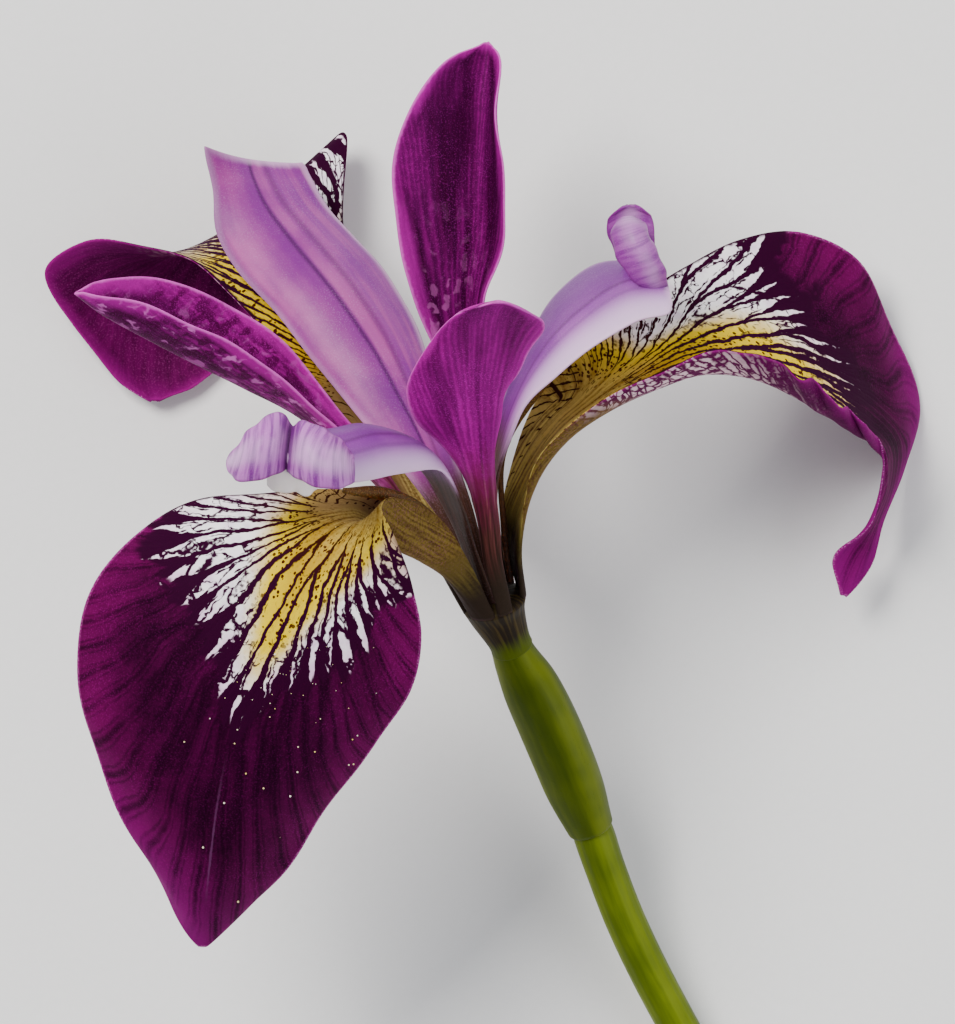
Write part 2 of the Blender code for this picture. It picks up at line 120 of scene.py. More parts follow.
class Wire:
    """One output of a shader node. Sums with it add Math nodes to its finish."""

    def __init__(self, finish, socket):
        self.finish = finish
        self.socket = socket

    def __add__(self, other):
        return self.finish.math("ADD", self, other)

    __radd__ = __add__

    def __sub__(self, other):
        return self.finish.math("SUBTRACT", self, other)

    def __rsub__(self, other):
        return self.finish.math("SUBTRACT", other, self)

    def __mul__(self, other):
        return self.finish.math("MULTIPLY", self, other)

    __rmul__ = __mul__

    def __truediv__(self, other):
        return self.finish.math("DIVIDE", self, other)

    def __abs__(self):
        return self.finish.math("ABSOLUTE", self)

    def __gt__(self, other):
        return self.finish.math("GREATER_THAN", self, other)

    def floor(self):
        return self.finish.math("FLOOR", self)

    def low(self, other):
        """The smaller of the two."""
        return self.finish.math("MINIMUM", self, other)

    def high(self, other):
        """The larger of the two."""
        return self.finish.math("MAXIMUM", self, other)

    def ramp(self, start, end, low=0.0, high=1.0):
        """Goes smoothly from low to high as the value goes from start to end."""
        return self.finish.node(
            "ShaderNodeMapRange",
            {"interpolation_type": "SMOOTHSTEP"},
            {"Value": self, "From Min": start, "From Max": end, "To Min": low, "To Max": high},
        )

    def fade(self, start, end, high=1.0):
        """Goes smoothly from high down to 0 as the value goes from start to end."""
        return self.ramp(start, end, high, 0.0)


# %% A finish
class Finish:
    """A Principled material whose inputs are given as numbers, colours or wires."""

    def __init__(self, name, constants):
        self.material = bpy.data.materials.new(name)
        self.material.use_nodes = True
        self.tree = self.material.node_tree
        self.shader = self.tree.nodes["Principled BSDF"]
        for key, value in constants.items():
            self.shader.inputs[key].default_value = value
        self.place = self.node("ShaderNodeTexCoord", output="Object")

    def feed(self, socket, value):
        if isinstance(value, Wire):
            self.tree.links.new(value.socket, socket)
        else:
            socket.default_value = value

    def node(self, kind, settings=None, inputs=None, output=0):
        """Any node: its settings first, then values or wires into its sockets."""
        node = self.tree.nodes.new(kind)
        for key, value in (settings or {}).items():
            setattr(node, key, value)
        for key, value in (inputs or {}).items():
            self.feed(node.inputs[key], value)
        return Wire(self, node.outputs[output])

    def math(self, operation, *values):
        return self.node("ShaderNodeMath", {"operation": operation}, dict(enumerate(values)))

    def mix(self, first, second, share):
        """A colour between two colours, each a wire or three numbers from 0 to 255."""
        ends = [linear(*end) if isinstance(end, tuple) else end for end in (first, second)]
        inputs = {0: share, 6: ends[0], 7: ends[1]}
        return self.node("ShaderNodeMix", {"data_type": "RGBA", "blend_type": "MIX"}, inputs, output=2)

    def field(self, name):
        """A number stored on the mesh's points."""
        return self.node("ShaderNodeAttribute", {"attribute_name": name}, output="Fac")

    def fields(self, names):
        """Several such numbers, named in one line."""
        return [self.field(name) for name in names.split()]

    def vector(self, x, y):
        return self.node("ShaderNodeCombineXYZ", None, {"X": x, "Y": y})

    def noise(self, size, where=None, detail=2.0, rough=0.5):
        """Soft random cloud between 0 and 1, of a size in millimetres (or in where's own units)."""
        scale = 1.0 / size if where is not None else 1000.0 / size
        inputs = {"Vector": where or self.place, "Scale": scale, "Detail": detail, "Roughness": rough}
        return self.node("ShaderNodeTexNoise", None, inputs, output="Fac")

    def streaked(self, x, y, detail=2.0):
        """The same cloud laid over two numbers of the surface: the slower one changes, the longer its
        streaks are along it."""
        return self.noise(1, self.vector(x, y), detail)

    def luck(self, value):
        """The same random number between 0 and 1 for the same whole number."""
        return self.node("ShaderNodeTexWhiteNoise", {"noise_dimensions": "1D"}, {"W": value}, output="Value")

    def spots(self, size, where, output="Distance", feature="F1"):
        """The distance to the nearest of many scattered points, in where's own units, or its colour."""
        inputs = {"Vector": where, "Scale": 1.0 / size}
        return self.node("ShaderNodeTexVoronoi", {"feature": feature}, inputs, output)

    def walls(self, where):
        """The distance to the walls of a net that has one mesh round each of those points."""
        return self.spots(1, where, feature="DISTANCE_TO_EDGE")

    def relief(self, height, depth):
        """Raises the surface by depth, in millimetres, where height is 1."""
        bump = self.node("ShaderNodeBump", None, {"Strength": 1.0, "Distance": depth * MM, "Height": height})
        self.feed(self.shader.inputs["Normal"], bump)

    def show(self, colour, roughness):
        self.feed(self.shader.inputs["Base Color"], colour)
        self.feed(self.shader.inputs["Roughness"], roughness)


# %% [markdown]
# ## A petal as a surface of two numbers
# A petal is a thin curved sheet. It could be sculpted by hand, but a sum is easier to check and to
# change: three lines run from the root to the tip, the left edge, the midrib and the right edge, and
# every point of the petal lies on a bow that joins them. The same lines shape the CAD solids, so the
# fine petal lies inside the thick one.

# %% Lines and sheets
def through(points, steps):
    """A smooth curve through points (Catmull-Rom), read at steps, where step 2.5 is half way
    between the third and the fourth point."""
    points = np.asarray(points, float)
    padded = np.vstack([2 * points[0] - points[1], points, 2 * points[-1] - points[-2]])
    steps = np.asarray(steps, float)
    first = np.clip(steps.astype(int), 0, len(points) - 2)
    share = (steps - first)[:, None]
    a, b, c, d = (padded[first + i] for i in range(4))
    return 0.5 * (
        2 * b
        + (c - a) * share
        + (2 * a - 5 * b + 4 * c - d) * share**2
        + (3 * b - a - 3 * c + d) * share**3
    )


TIP_SHARE = 0.06
TIP_CROWDING = 0.35


def petal_points(stations, rows, columns, fold=2.0, closing=0.96):
    """P(u, v) = M(v) + u (R(v) - L(v)) / 2 + |u|^fold ((L(v) + R(v)) / 2 - M(v)).

    L, M and R are the edges and the midrib, u runs from -1 to 1 across and v from 0 to 1 along.
    Near the tip u is narrowed as a quarter ellipse closes. The rows crowd towards the tip.
    """
    along = np.linspace(0, 1, rows + 1)
    along = along + TIP_CROWDING * along**4 * (1 - along)
    rails = through(np.reshape(stations, (len(stations), 9)), along * (len(stations) - 1))
    left, middle, right = np.moveaxis(rails.reshape(rows + 1, 3, 3), 1, 0)
    end = np.clip((along - 1 + TIP_SHARE) / TIP_SHARE, 0, 1) * closing
    across = np.linspace(-1, 1, columns + 1)[None, :, None] * np.sqrt(1 - end**2)[:, None, None]
    bow = np.abs(across) ** fold
    return (
        middle[:, None]
        + across * ((right - left) / 2)[:, None]
        + bow * ((left + right) / 2 - middle)[:, None]
    )


# %% What a sheet measures
def normals(points):
    """The sheet's upward direction: the slope across it times the slope along it."""
    normal = np.cross(np.gradient(points, axis=1), np.gradient(points, axis=0))
    return normal / np.maximum(np.linalg.norm(normal, axis=2, keepdims=True), 1e-9)


def running(points, axis, start):
    """Distance travelled over the sheet along one of its directions, zero at the start line."""
    steps = np.linalg.norm(np.diff(points, axis=axis), axis=2)
    travelled = np.cumsum(steps, axis=axis)
    zero = np.zeros_like(np.take(points[..., 0], [0], axis=axis))
    travelled = np.concatenate([zero, travelled], axis=axis)
    return travelled - np.take(travelled, [start], axis=axis)


def sheet_measures(points):
    """Millimetres along from the root, across from the midrib, and in from the nearest edge."""
    across = running(points, 1, points.shape[1] // 2)
    along = running(points, 0, 0)
    half = np.where(across < 0, -across[:, :1], across[:, -1:])
    edge = np.minimum(half - np.abs(across), along[-1:] - along)
    share = across / np.maximum(half, 0.01)
    return {"along": along, "across": across, "edge": edge, "share": share}


# %% A closed thin body
def quads(rows, columns, start=0, flip=False):
    """Corner numbers of a grid's faces."""
    line = columns + 1
    first = (np.arange(rows)[:, None] * line + np.arange(columns)[None]).ravel() + start
    faces = np.stack([first, first + 1, first + line + 1, first + line], axis=1)
    return faces[:, ::-1] if flip else faces


def ring_faces(count, sides):
    """Walls between rings of points, and a fan at each end, to two more points after the rings."""
    here = np.arange(sides)
    after = np.roll(here, -1)
    lines = np.arange(count - 1)[:, None] * sides
    walls = np.stack([here + lines, after + lines, after + lines + sides, here + lines + sides], axis=2)
    last, tip = (count - 1) * sides, np.full(sides, count * sides)
    start_fan = np.stack([after, here, tip], axis=1)
    end_fan = np.stack([here + last, after + last, tip + 1], axis=1)
    return [walls.reshape(-1, 4), start_fan, end_fan]


def rim(rows, columns):
    """Point numbers round a grid's outside, once."""
    line = columns + 1
    return np.concatenate(
        [
            np.arange(columns),
            np.arange(rows) * line + columns,
            rows * line + np.arange(columns, 0, -1),
            np.arange(rows, 0, -1) * line,
        ]
    )


def skinned(points, thickness, fields, inside=1):
    """A closed thin body: a skin half the thickness above the sheet, one below, and a wall round them.

    inside says which skin is the flower's inner, showy side: 1 the upper one, -1 the lower one.
    """
    rows, columns = points.shape[0] - 1, points.shape[1] - 1
    offset = normals(points) * (np.broadcast_to(thickness, points.shape[:2]) / 2)[..., None]
    vertices = np.concatenate([(points + offset).reshape(-1, 3), (points - offset).reshape(-1, 3)])
    count = len(vertices) // 2
    edge = rim(rows, columns)
    after = np.roll(edge, -1)
    wall = np.stack([edge, edge + count, after + count, after], axis=1)
    faces = np.concatenate([quads(rows, columns), quads(rows, columns, count, flip=True), wall])
    stored = {}
    for name, values in fields.items():
        stored[name] = np.tile(np.broadcast_to(values, points.shape[:2]).ravel(), 2)
    stored["under"] = np.repeat([0.0, 1.0][::inside], count)
    return vertices, [faces], stored


def joined(bodies):
    """Several bodies as one mesh's worth of points, faces and fields."""
    names = sorted(set().union(*(fields for _, _, fields in bodies)))
    vertices, faces, start = [], [], 0
    stored = {name: [] for name in names}
    for points, groups, fields in bodies:
        vertices.append(points)
        faces += [corners + start for corners in groups]
        start += len(points)
        for name in names:
            stored[name].append(fields.get(name, np.zeros(len(points))))
    stored = {name: np.concatenate(values) for name, values in stored.items()}
    return np.concatenate(vertices), faces, stored


# %% A body becomes a piece
def make_piece(name, body, finish, node=None):
    """Puts a body in the scene in metres, nowhere below the floor, and hides the CAD part that it stands
    for.
    """
    vertices, faces, fields = body
    place = (vertices + THROAT) * MM
    place[:, 2] = np.maximum(place[:, 2], 0.0)
    mesh = bpy.data.meshes.new(name)
    mesh.vertices.add(len(place))
    mesh.vertices.foreach_set("co", place.ravel())
    corners = np.concatenate([group.ravel() for group in faces]).astype(np.int32)
    sizes = np.concatenate([np.full(len(group), group.shape[1]) for group in faces])
    mesh.loops.add(len(corners))
    mesh.loops.foreach_set("vertex_index", corners)
    mesh.polygons.add(len(sizes))
    mesh.polygons.foreach_set("loop_start", (np.cumsum(sizes) - sizes).astype(np.int32))
    mesh.update(calc_edges=True)
    mesh.validate()
    for field, values in fields.items():
        mesh.attributes.new(field, "FLOAT", "POINT").data.foreach_set("value", values.astype(np.float32))
    mesh.shade_smooth()
    mesh.materials.append(finish.material)
    piece = bpy.data.objects.new(name, mesh)
    bpy.context.scene.collection.objects.link(piece)
    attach(piece, "root")
    if node:
        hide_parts(node)
    print(name, len(place), "points,", len(sizes), "faces")


# %% [markdown]
# ## Where each petal stands
# The petals grow in threes from the rim of the tube. Each petal's lines start on that rim, a little
# inside it, so that no gap shows at the root. The points are in millimetres from the throat: x to
# the right, y towards the top of the flower and z up towards the eye.

# %% The rim of the tube
RIM_CENTRE = np.array([-1.3, 0.3, 0.5])
FLOWER_AXIS = np.array([-0.25, 0.82, 0.5]) / np.linalg.norm([-0.25, 0.82, 0.5])
RIM_NEAR = np.array([0, 0, 1]) - FLOWER_AXIS * FLOWER_AXIS[2]
RIM_NEAR = RIM_NEAR / np.linalg.norm(RIM_NEAR)
RIM_RIGHT = np.cross(FLOWER_AXIS, RIM_NEAR)
ROOT_DEPTH = -0.7


def on_rim(angle, radius, lift=ROOT_DEPTH):
    """A point at an angle round the rim, from the right through the far side, sunk into the tube."""
    turn = np.radians(angle)
    out = RIM_RIGHT * np.cos(turn) - RIM_NEAR * np.sin(turn)
    return tuple(RIM_CENTRE + FLOWER_AXIS * lift + out * radius)


def seat(left_angle, right_angle, radius):
    """A petal's first station: its left edge, midrib and right edge on the rim."""
    middle = (left_angle + right_angle) / 2
    return on_rim(left_angle, radius), on_rim(middle, radius), on_rim(right_angle, radius)


# %% [markdown]
# ## The falls
# A fall has a narrow trough at its root, the haft, and a broad blade that arches over and hangs.
# The front one hangs face on, the right one arches away with a twisted tip, and the back one drops
# behind the others. Each row below is one station from root to tip: left edge, midrib, right edge.

# %% Lines of the falls
FALL_FRONT = [
    seat(212, 264, 2.8),
    ((-6.1, 3.8, 4), (-5, 1.7, 6), (-3.4, 3.3, 7.1)),
    ((-8.6, 7.4, 7.8), (-7.6, 3.5, 10.4), (-5.7, 7, 11.8)),
    ((-11.2, 9.3, 12.4), (-10.2, 4.8, 15.8), (-8.6, 8.9, 16.6)),
    ((-14.4, 10, 17), (-13.4, 6.9, 20.6), (-11.4, 9, 20.8)),
    ((-20.4, 9.9, 19.6), (-16.8, 6, 24.2), (-10.2, 5.6, 22.6)),
    ((-27.8, 9, 20), (-20.2, 3, 26.2), (-8.6, 1, 22.2)),
    ((-34.3, 5.4, 19.6), (-22.4, -1.2, 26.6), (-7.7, -3.3, 21.6)),
    ((-38.1, -0.4, 19), (-23.8, -6.4, 26), (-8.8, -8.2, 20.6)),
    ((-39, -7.2, 18.4), (-24.9, -12, 24.4), (-11.7, -12.8, 19.2)),
    ((-37.3, -14.5, 17.2), (-26.1, -17.8, 21.8), (-15.1, -17.4, 17.4)),
    ((-34.1, -21.2, 15.2), (-26.9, -23.3, 18.4), (-18.7, -22.5, 15)),
    ((-31.1, -26.9, 12.4), (-27.5, -28.2, 14.2), (-22.8, -27.3, 12.2)),
    ((-29.4, -31.4, 9.6), (-27.8, -31.8, 9.8), (-26.3, -31.4, 9.4)),
]
FALL_RIGHT = [
    seat(26, -26, 2.8),
    ((-0.3, 7, 0.2), (0.9, 5.8, 2.2), (1.3, 5.2, 4.2)),
    ((0.5, 12.2, 0), (2.5, 10.7, 3.2), (2.5, 11.8, 6.2)),
    ((2.5, 17.8, -1), (5.2, 14.8, 3.2), (5.2, 15.4, 7.8)),
    ((6.8, 23.2, -2.6), (9, 17.8, 3), (9.3, 18.4, 9.2)),
    ((12, 27.6, -4.6), (13.6, 20.1, 2.2), (13.7, 20.8, 10.8)),
    ((16.8, 30.8, -7), (18, 21.6, 1), (18.4, 22.6, 11.4)),
    ((21.8, 33.4, -9.8), (22.8, 21.6, -1), (23.2, 22, 10.2)),
    ((27.8, 34.3, -13.4), (27.4, 20, -3.8), (27.6, 20.2, 7)),
    ((33.1, 31.4, -17.2), (31.2, 17.9, -6.8), (30.6, 18.1, 2.4)),
    ((36.9, 24.5, -20.4), (33.8, 16, -9.8), (33.2, 16.2, -2.6)),
    ((39.3, 17.8, -22.5), (36, 13.8, -13), (35.2, 13.7, -7.6)),
    ((37.7, 12, -21.9), (36, 10.5, -15.2), (35.3, 10.3, -11.4)),
    ((35.7, 7.2, -19), (34.7, 6.8, -16), (34, 6.8, -13.8)),
    ((34.7, 3.4, -17.8), (33.2, 3.4, -16.4), (30.9, 4, -15.6)),
    ((32.5, 0, -17), (31.8, 0.1, -16.8), (30.9, 0.5, -16.4)),
]
FALL_BACK = [
    seat(148, 96, 2.8),
    ((-6.6, 5.4, 0), (-5.4, 6, -1.4), (-4, 7, -2.4)),
    ((-11.8, 11.2, -1.6), (-8.6, 12.6, -3.8), (-6.8, 13.8, -4.8)),
    ((-16.7, 17.1, -3.5), (-12.2, 19.6, -6.6), (-9.8, 21, -7.8)),
    ((-21.2, 23, -5.5), (-15.8, 26.2, -9.6), (-12.6, 28, -11.6)),
    ((-25.5, 28, -7.4), (-19.8, 31.4, -12.8), (-15.2, 34.6, -15.4)),
    ((-30, 31.6, -10), (-24.4, 34.2, -16), (-15, 43.4, -17.8)),
    ((-34.5, 33.3, -12.4), (-28.6, 33.2, -18.8), (-17.4, 41.6, -20.6)),
    ((-39.6, 33.3, -15), (-31.4, 30, -20.8), (-20, 35, -21.8)),
    ((-43.4, 30.6, -17.4), (-33.2, 26.6, -21.8), (-23, 28.6, -21.8)),
    ((-40.9, 25.8, -19.2), (-33.6, 23.6, -21.9), (-25.8, 23.2, -21.2)),
    ((-37.4, 21.4, -20), (-33.6, 20.6, -21.4), (-28.8, 20.2, -20.8)),
    ((-34.6, 18.7, -20.2), (-33.1, 18.5, -20.4), (-31.6, 18.6, -20.2)),
]


# %% [markdown]
# ## The veins' map
# Veins run side by side through the haft, leave its mouth and spread over the blade until they meet
# its edge. They could be painted one by one, but a known curve does it: hyperbolas whose two foci are
# the corners of the mouth start parallel between them and end as straight rays. Each point of a fall
# gets two numbers: which vein it is near, and how far from the mouth it is. The shader draws sharp
# lines from them, so the veins stay fine however close the eye comes.

# %% The fan over a fall
VEINS_PER_TURN = 5.5
SWAY_LENGTH = 24
FAN_SIDE = 0.8
WIDEST_CELL = 6.0


def steepness(points, values):
    """How fast a number changes over the sheet, per millimetre. With E, F, G the sheet's own metric:

    |grad f|^2 = (G fu^2 - 2 F fu fv + E fv^2) / (E G - F^2).
    """
    down, over = np.gradient(points, axis=0), np.gradient(points, axis=1)
    f_down, f_over = np.gradient(values)
    e, f, g = (down * down).sum(-1), (down * over).sum(-1), (over * over).sum(-1)
    top = g * f_down**2 - 2 * f * f_down * f_over + e * f_over**2
    return np.sqrt(np.maximum(top, 0) / np.maximum(e * g - f * f, 1e-9))


def vein_fields(points, mouth, half_mouth, splay=1.0, sway=0.0, crowd=1.0, white=((0, 1),), gold=((0, 1),)):
    """With r1 and r2 the distances to the mouth's corners and a its half width:

    fan = asin((r2 - r1) / (2 a)) and reach = (r1 + r2) / 2 - a.
    In the haft, fan = asin(across / a) and reach is negative. Outside the mouth, across is first
    brought in to a (|across| / a)^(1 / splay), so that the veins bend away from the midrib, and sway
    shifts the fan's middle to one side. column counts the main veins, crowd times as many, closer
    together towards the fan's sides and few beyond them, and cell is their spacing in millimetres.
    lonely marks the far sides where that spacing is much more than an even fan's, (reach + a) /
    veins per turn, and steps counts the short crossing veins drawn there. signal and gold give the
    reach as a share of the white and the yellow patch's reach at that fan.
    """
    fields = sheet_measures(points)
    past = fields["along"] - mouth
    across = fields["across"] - sway * np.sin(np.pi * np.clip(past / SWAY_LENGTH, 0, 1))
    wide = np.abs(across) / half_mouth
    across = np.sign(across) * half_mouth * np.where(wide > 1, wide ** (1 / splay), wide)
    right_corner = np.hypot(past, across - half_mouth)
    left_corner = np.hypot(past, across + half_mouth)
    blade = past > 0
    sine = np.where(blade, (left_corner - right_corner) / (2 * half_mouth), across / half_mouth)
    fan = np.arcsin(np.clip(sine, -0.999, 0.999))
    reach = np.where(blade, (left_corner + right_corner) / 2 - half_mouth, past)
    inner = np.minimum(np.abs(fan), FAN_SIDE)
    counted = inner + 0.9 * inner**3 + 0.35 * (np.abs(fan) - inner)
    column = crowd * VEINS_PER_TURN * np.sign(fan) * counted
    spacing = 1 / np.maximum(steepness(points, column), 0.1)
    even = (np.maximum(reach, 0) + half_mouth) / (crowd * VEINS_PER_TURN)
    fields.update(
        fan=fan,
        reach=reach,
        column=column,
        cell=np.clip(spacing, 0.1, WIDEST_CELL),
        lonely=np.clip(spacing / even - 1.2, 0, 1) * np.clip(np.abs(fan) * 6 - 2.7, 0, 1),
        steps=fields["along"] * 0.9 - fields["edge"] * 0.55,
        signal=reach / np.interp(fan, *np.transpose(white)),
        gold=reach / np.interp(fan, *np.transpose(gold)),
    )
    return fields


# %% Ruffles and thickness
FULL_TURN = 6.28


def ripple(points, size, waves, seed):
    """Bends a sheet's edges up and down: size * |share|^3 * the mean of a few sines along the edge,
    each side with its own random starts, fading out at the root and at the tip."""
    draw = np.random.default_rng(seed)
    fields = sheet_measures(points)
    along = fields["along"] / fields["along"].max()
    bend = np.zeros(points.shape[:2])
    for wave in waves:
        left, right = draw.uniform(0, 2 * np.pi, 2)
        start = np.where(fields["share"] < 0, left, right)
        bend += np.sin(wave * along * FULL_TURN + start) / len(waves)
    fading = np.clip(along * 4, 0, 1) * np.clip((1 - along) * 8, 0, 1)
    return points + normals(points) * (size * np.abs(fields["share"]) ** 3 * bend * fading)[..., None]


def frilled(points, start, end, wave, size):
    """Gathers the right edge between two places along it: with p = 2 pi along / wave, the push out
    of the sheet is size share^2.5 (sin p + sin(1.7 p + 1) / 2), fading in and out as a half sine."""
    fields = sheet_measures(points)
    stretch = np.clip((fields["along"] - start) / (end - start), 0, 1)
    push = size * np.sin(np.pi * stretch) * np.clip(fields["share"], 0, 1) ** 2.5
    phase = 2 * np.pi * fields["along"] / wave
    return points + normals(points) * (push * (np.sin(phase) + 0.5 * np.sin(1.7 * phase + 1)))[..., None]


def petal_thickness(points, root, blade):
    """Thick at the root, thin over the blade, and thinner again at the edge: with s the share of the
    length, (blade + (root - blade) exp(-5 s)) (1 - 0.6 |share|^8)."""
    fields = sheet_measures(points)
    along = fields["along"] / fields["along"].max()
    return (blade + (root - blade) * np.exp(-5 * along)) * (1 - 0.6 * np.abs(fields["share"]) ** 8)


# %% [markdown]
# ## The falls' velvet
# The blade is deep magenta velvet, dark in the middle and brighter at its edge. Its signal is a patch
# of yellow and white at the mouth of the haft, which the purple veins cut into fingers. Each finger
# ends where its two veins grow together. The shader folds the fan's number over and over: a fold is
# a fork. The under side is duller, olive with brown mottling at the haft.

# %% Forking veins
PETAL_SKIN = {
    "Sheen Weight": 0.02,
    "Sheen Roughness": 0.35,
    "Sheen Tint": (1.0, 0.2, 0.8, 1.0),
    "Subsurface Weight": 0.06,
    "Subsurface Radius": (0.001, 0.0006, 0.0008),
    "Subsurface Scale": 1.0,
    "Specular IOR Level": 0.02,
}

MAIN_FORKS = [(0.5, 4.0), (11.0, 8.0)]
TWIG_FORKS = [(0.5, 4.0), (3.5, 5.0), (11.0, 8.0)]


def forked(finish, column, reach, cell, forks):
    """Distance in millimetres to the nearest vein.

    column counts the main veins, with one in the middle of each whole number. At each fork the
    distance is folded about the vein and the two branches move apart until they are evenly spaced.
    """
    number = column.floor()
    offset = column - number - 0.5
    spacing = 0.25
    for start, length in forks:
        chance = finish.luck(number * 3.7 + start)
        begin = reach - chance * length - start
        apart = begin.ramp(0.0, length) * spacing
        number = number * 2 + (offset > 0.0)
        offset = abs(offset) - apart
        spacing = spacing / 2
    return abs(offset) * cell


# %% The falls' finish
def painted_sparkle(finish, colour, light, fine, strength):
    """Painted sparkle of a petal's skin: a lighter colour in its cells, one by one, where they would catch
    the light.
    """
    cells = finish.noise(fine).ramp(0.5, 0.72)
    clouds = finish.noise(5, detail=3).ramp(0.3, 0.7, 0.35, 1)
    return finish.mix(colour, light, cells * clouds * strength)


def fall_finish():
    """Velvet, signal, veins and under side of a fall."""
    finish = Finish("fall_velvet", PETAL_SKIN)
    mix, noise, streaked = finish.mix, finish.noise, finish.streaked
    vector, spots = finish.vector, finish.spots
    fan, reach, cell, signal, gold, edge = finish.fields("fan reach cell signal gold edge")
    along, across, pale, under = finish.fields("along across pale under")

    # the veins wander a little and are not evenly spaced
    wander = streaked(fan * 3, reach * 0.06, detail=1) - 0.5
    bend = noise(4, detail=1) - 0.5
    tremble = noise(1.1) - 0.5
    shift = (bend * 0.7 + tremble * 0.55) / cell.high(0.3) * reach.ramp(-2, 9, 0.15, 1)
    column = finish.field("column") + (wander * 1.2 + shift) * signal.ramp(0.85, 1.5, 1, 0.35)
    main = forked(finish, column, reach, cell, MAIN_FORKS)
    twig = forked(finish, column, reach, cell, TWIG_FORKS)
    ragged = (noise(0.6, detail=3) - 0.5) * 0.22
    broken = streaked(column * 3, reach * 0.5)

    # cross veins tie the long ones into a net of long meshes
    meshes = vector(column * 1.9 + tremble * 0.5, reach * 0.26 + tremble * 0.9)
    net = finish.walls(meshes) * cell * 0.45
    lot = spots(1, meshes, "Color")

    # each white finger narrows to its own end
    end = streaked(fan * 18, reach * 0.05) * 0.6 + 0.7 + lot * 0.12
    closing = (signal - end).ramp(-0.36, 0.04)
    spread = signal.ramp(0, 0.7)
    outer = gold.ramp(0.7, 1.4)
    barbed = ragged * (outer * 0.6 + 0.9)
    slim = reach.fade(-9, 2, 0.14).high(cell.fade(0.2, 1.3, 0.12))
    near_main = main + barbed - spread * 0.12 - closing * cell * 0.12 - 0.08 + slim
    near_twig = twig + barbed - outer * 0.06 - closing * cell * 0.04 + broken.ramp(0.42, 0.6, 0, 0.16) + slim
    near_net = net + barbed - outer * spread * 0.08 - closing * 0.1 + 0.03 + slim
    steps = finish.field("steps") + tremble * 0.9 + bend * 1.2
    near_rung = abs(steps - steps.floor() - 0.5) + barbed - 0.1 + finish.field("lonely").fade(0, 0.5, 0.6)
    near = near_main.low(near_twig).low(near_net).low(near_rung)
    outside = (signal + ragged * 0.15 - end).ramp(-0.03, 0.03)
    margin = (edge + ragged * 2.4).fade(0.1, 0.45) * reach.ramp(2, 7)
    veins = near.fade(-0.03, 0.05).high(outside).high(margin)

    # the ground between the veins: olive haft, yellow core, cream, white
    soft_gold = gold + ragged * 0.8 + bend * 0.3
    white = mix((255, 250, 252), (222, 196, 220), noise(1.4).ramp(0.4, 0.75, 0, 0.7))
    white = mix((206, 168, 132), white, (reach + edge * 0.8 + bend * 4).ramp(3, 13))
    ground = mix((182, 140, 0), (228, 196, 0), soft_gold.ramp(0.2, 0.9))
    ground = mix(ground, white, soft_gold.ramp(0.85, 1.38))
    speck = noise(0.28, detail=3).ramp(0.42, 0.62)
    lines = streaked(fan * 9, reach * 0.12, detail=3).ramp(0.36, 0.66)
    haft = mix((206, 184, 104), (96, 60, 28), lines * 0.7 + speck * 0.3)
    # painted light: the right fall's haft is coloured lighter here and, three lines down, less brown, to
    # lift it out of the shade of the arm over it
    haft = mix(haft, (240, 224, 110), pale * (1 - lines) * 0.7)
    ground = mix(haft, ground, (reach + bend * 3).ramp(-4, 9))
    brown = fan.fade(-0.75, -0.4) * (reach + bend * 2).fade(1.5, 6)
    ground = mix(ground, (148, 120, 72), brown * (0.9 - pale * 0.75))
    ground = mix(ground, (206, 100, 186), (signal - end).ramp(-0.35, 0) * 0.4)
    clumps = noise(1.3)
    dots = spots(1, vector(fan * 34 + ragged * 3, reach * 2.2)) - clumps * 0.8
    dots = dots.fade(-0.16, -0.04) * clumps.ramp(0.36, 0.46)
    dots = dots * gold.fade(0.8, 1.3) * reach.ramp(-1, 3)
    ground = mix(ground, (64, 20, 8), dots)

    # velvet: dark in the middle, brighter outwards, with soft dark veins and painted sparkle, lighter cells
    # that catch the light
    clouds = noise(6, detail=3) - 0.5
    tone = (edge + clouds * 5).fade(0, 10)
    streaks = streaked(fan * 16, reach * 0.1, detail=4).ramp(0.34, 0.66)
    crumbs = noise(0.4, detail=4, rough=0.7).ramp(0.35, 0.65)
    velvet = mix((36, 0, 27), (98, 0, 72), tone * 0.7 + streaks * 0.34 + crumbs * 0.14 - 0.14)
    velvet = mix(velvet, (136, 0, 112), reach.ramp(34, 48, 0, 0.4))
    dark_line = (main + ragged * 0.5).fade(0.02, 0.3, 0.8)
    dark_line = dark_line.high((twig + ragged * 0.5).fade(0, 0.14, 0.5))
    dark_net = (net + ragged * 0.5).fade(0, 0.12, 0.45) * signal.fade(0.95, 1.2)
    dark_line = dark_line.high(dark_net)
    velvet = mix(velvet, (26, 0, 20), dark_line * noise(3).ramp(0.3, 0.6, 0.5, 1))
    velvet = mix(velvet, (128, 0, 106), reach.ramp(42, 52, 0, 0.7))
    midline = (abs(across) + ragged).fade(0.03, 0.14, 0.22) * signal.ramp(1.1, 1.6) * reach.fade(36, 42)
    velvet = mix(velvet, (150, 90, 146), midline)
    velvet = mix(velvet, (150, 8, 124), (edge + ragged).fade(0, 0.4, 0.6))
    # pale specks near the edge
    pale_rim_specks = noise(0.16).ramp(0.5, 0.62) * edge.fade(0, 0.35, 0.55)
    velvet = mix(velvet, (226, 150, 206), pale_rim_specks)
    # painted sparkle: lighter cells where the velvet catches the light
    velvet = painted_sparkle(finish, velvet, (140, 4, 116), fine=0.15, strength=tone * 0.3 + 0.16)
    vein_colour = mix((52, 20, 6), (42, 0, 33), signal.ramp(0.1, 0.6))
    upper = mix(ground, vein_colour, veins)
    upper = mix(upper, velvet, outside)

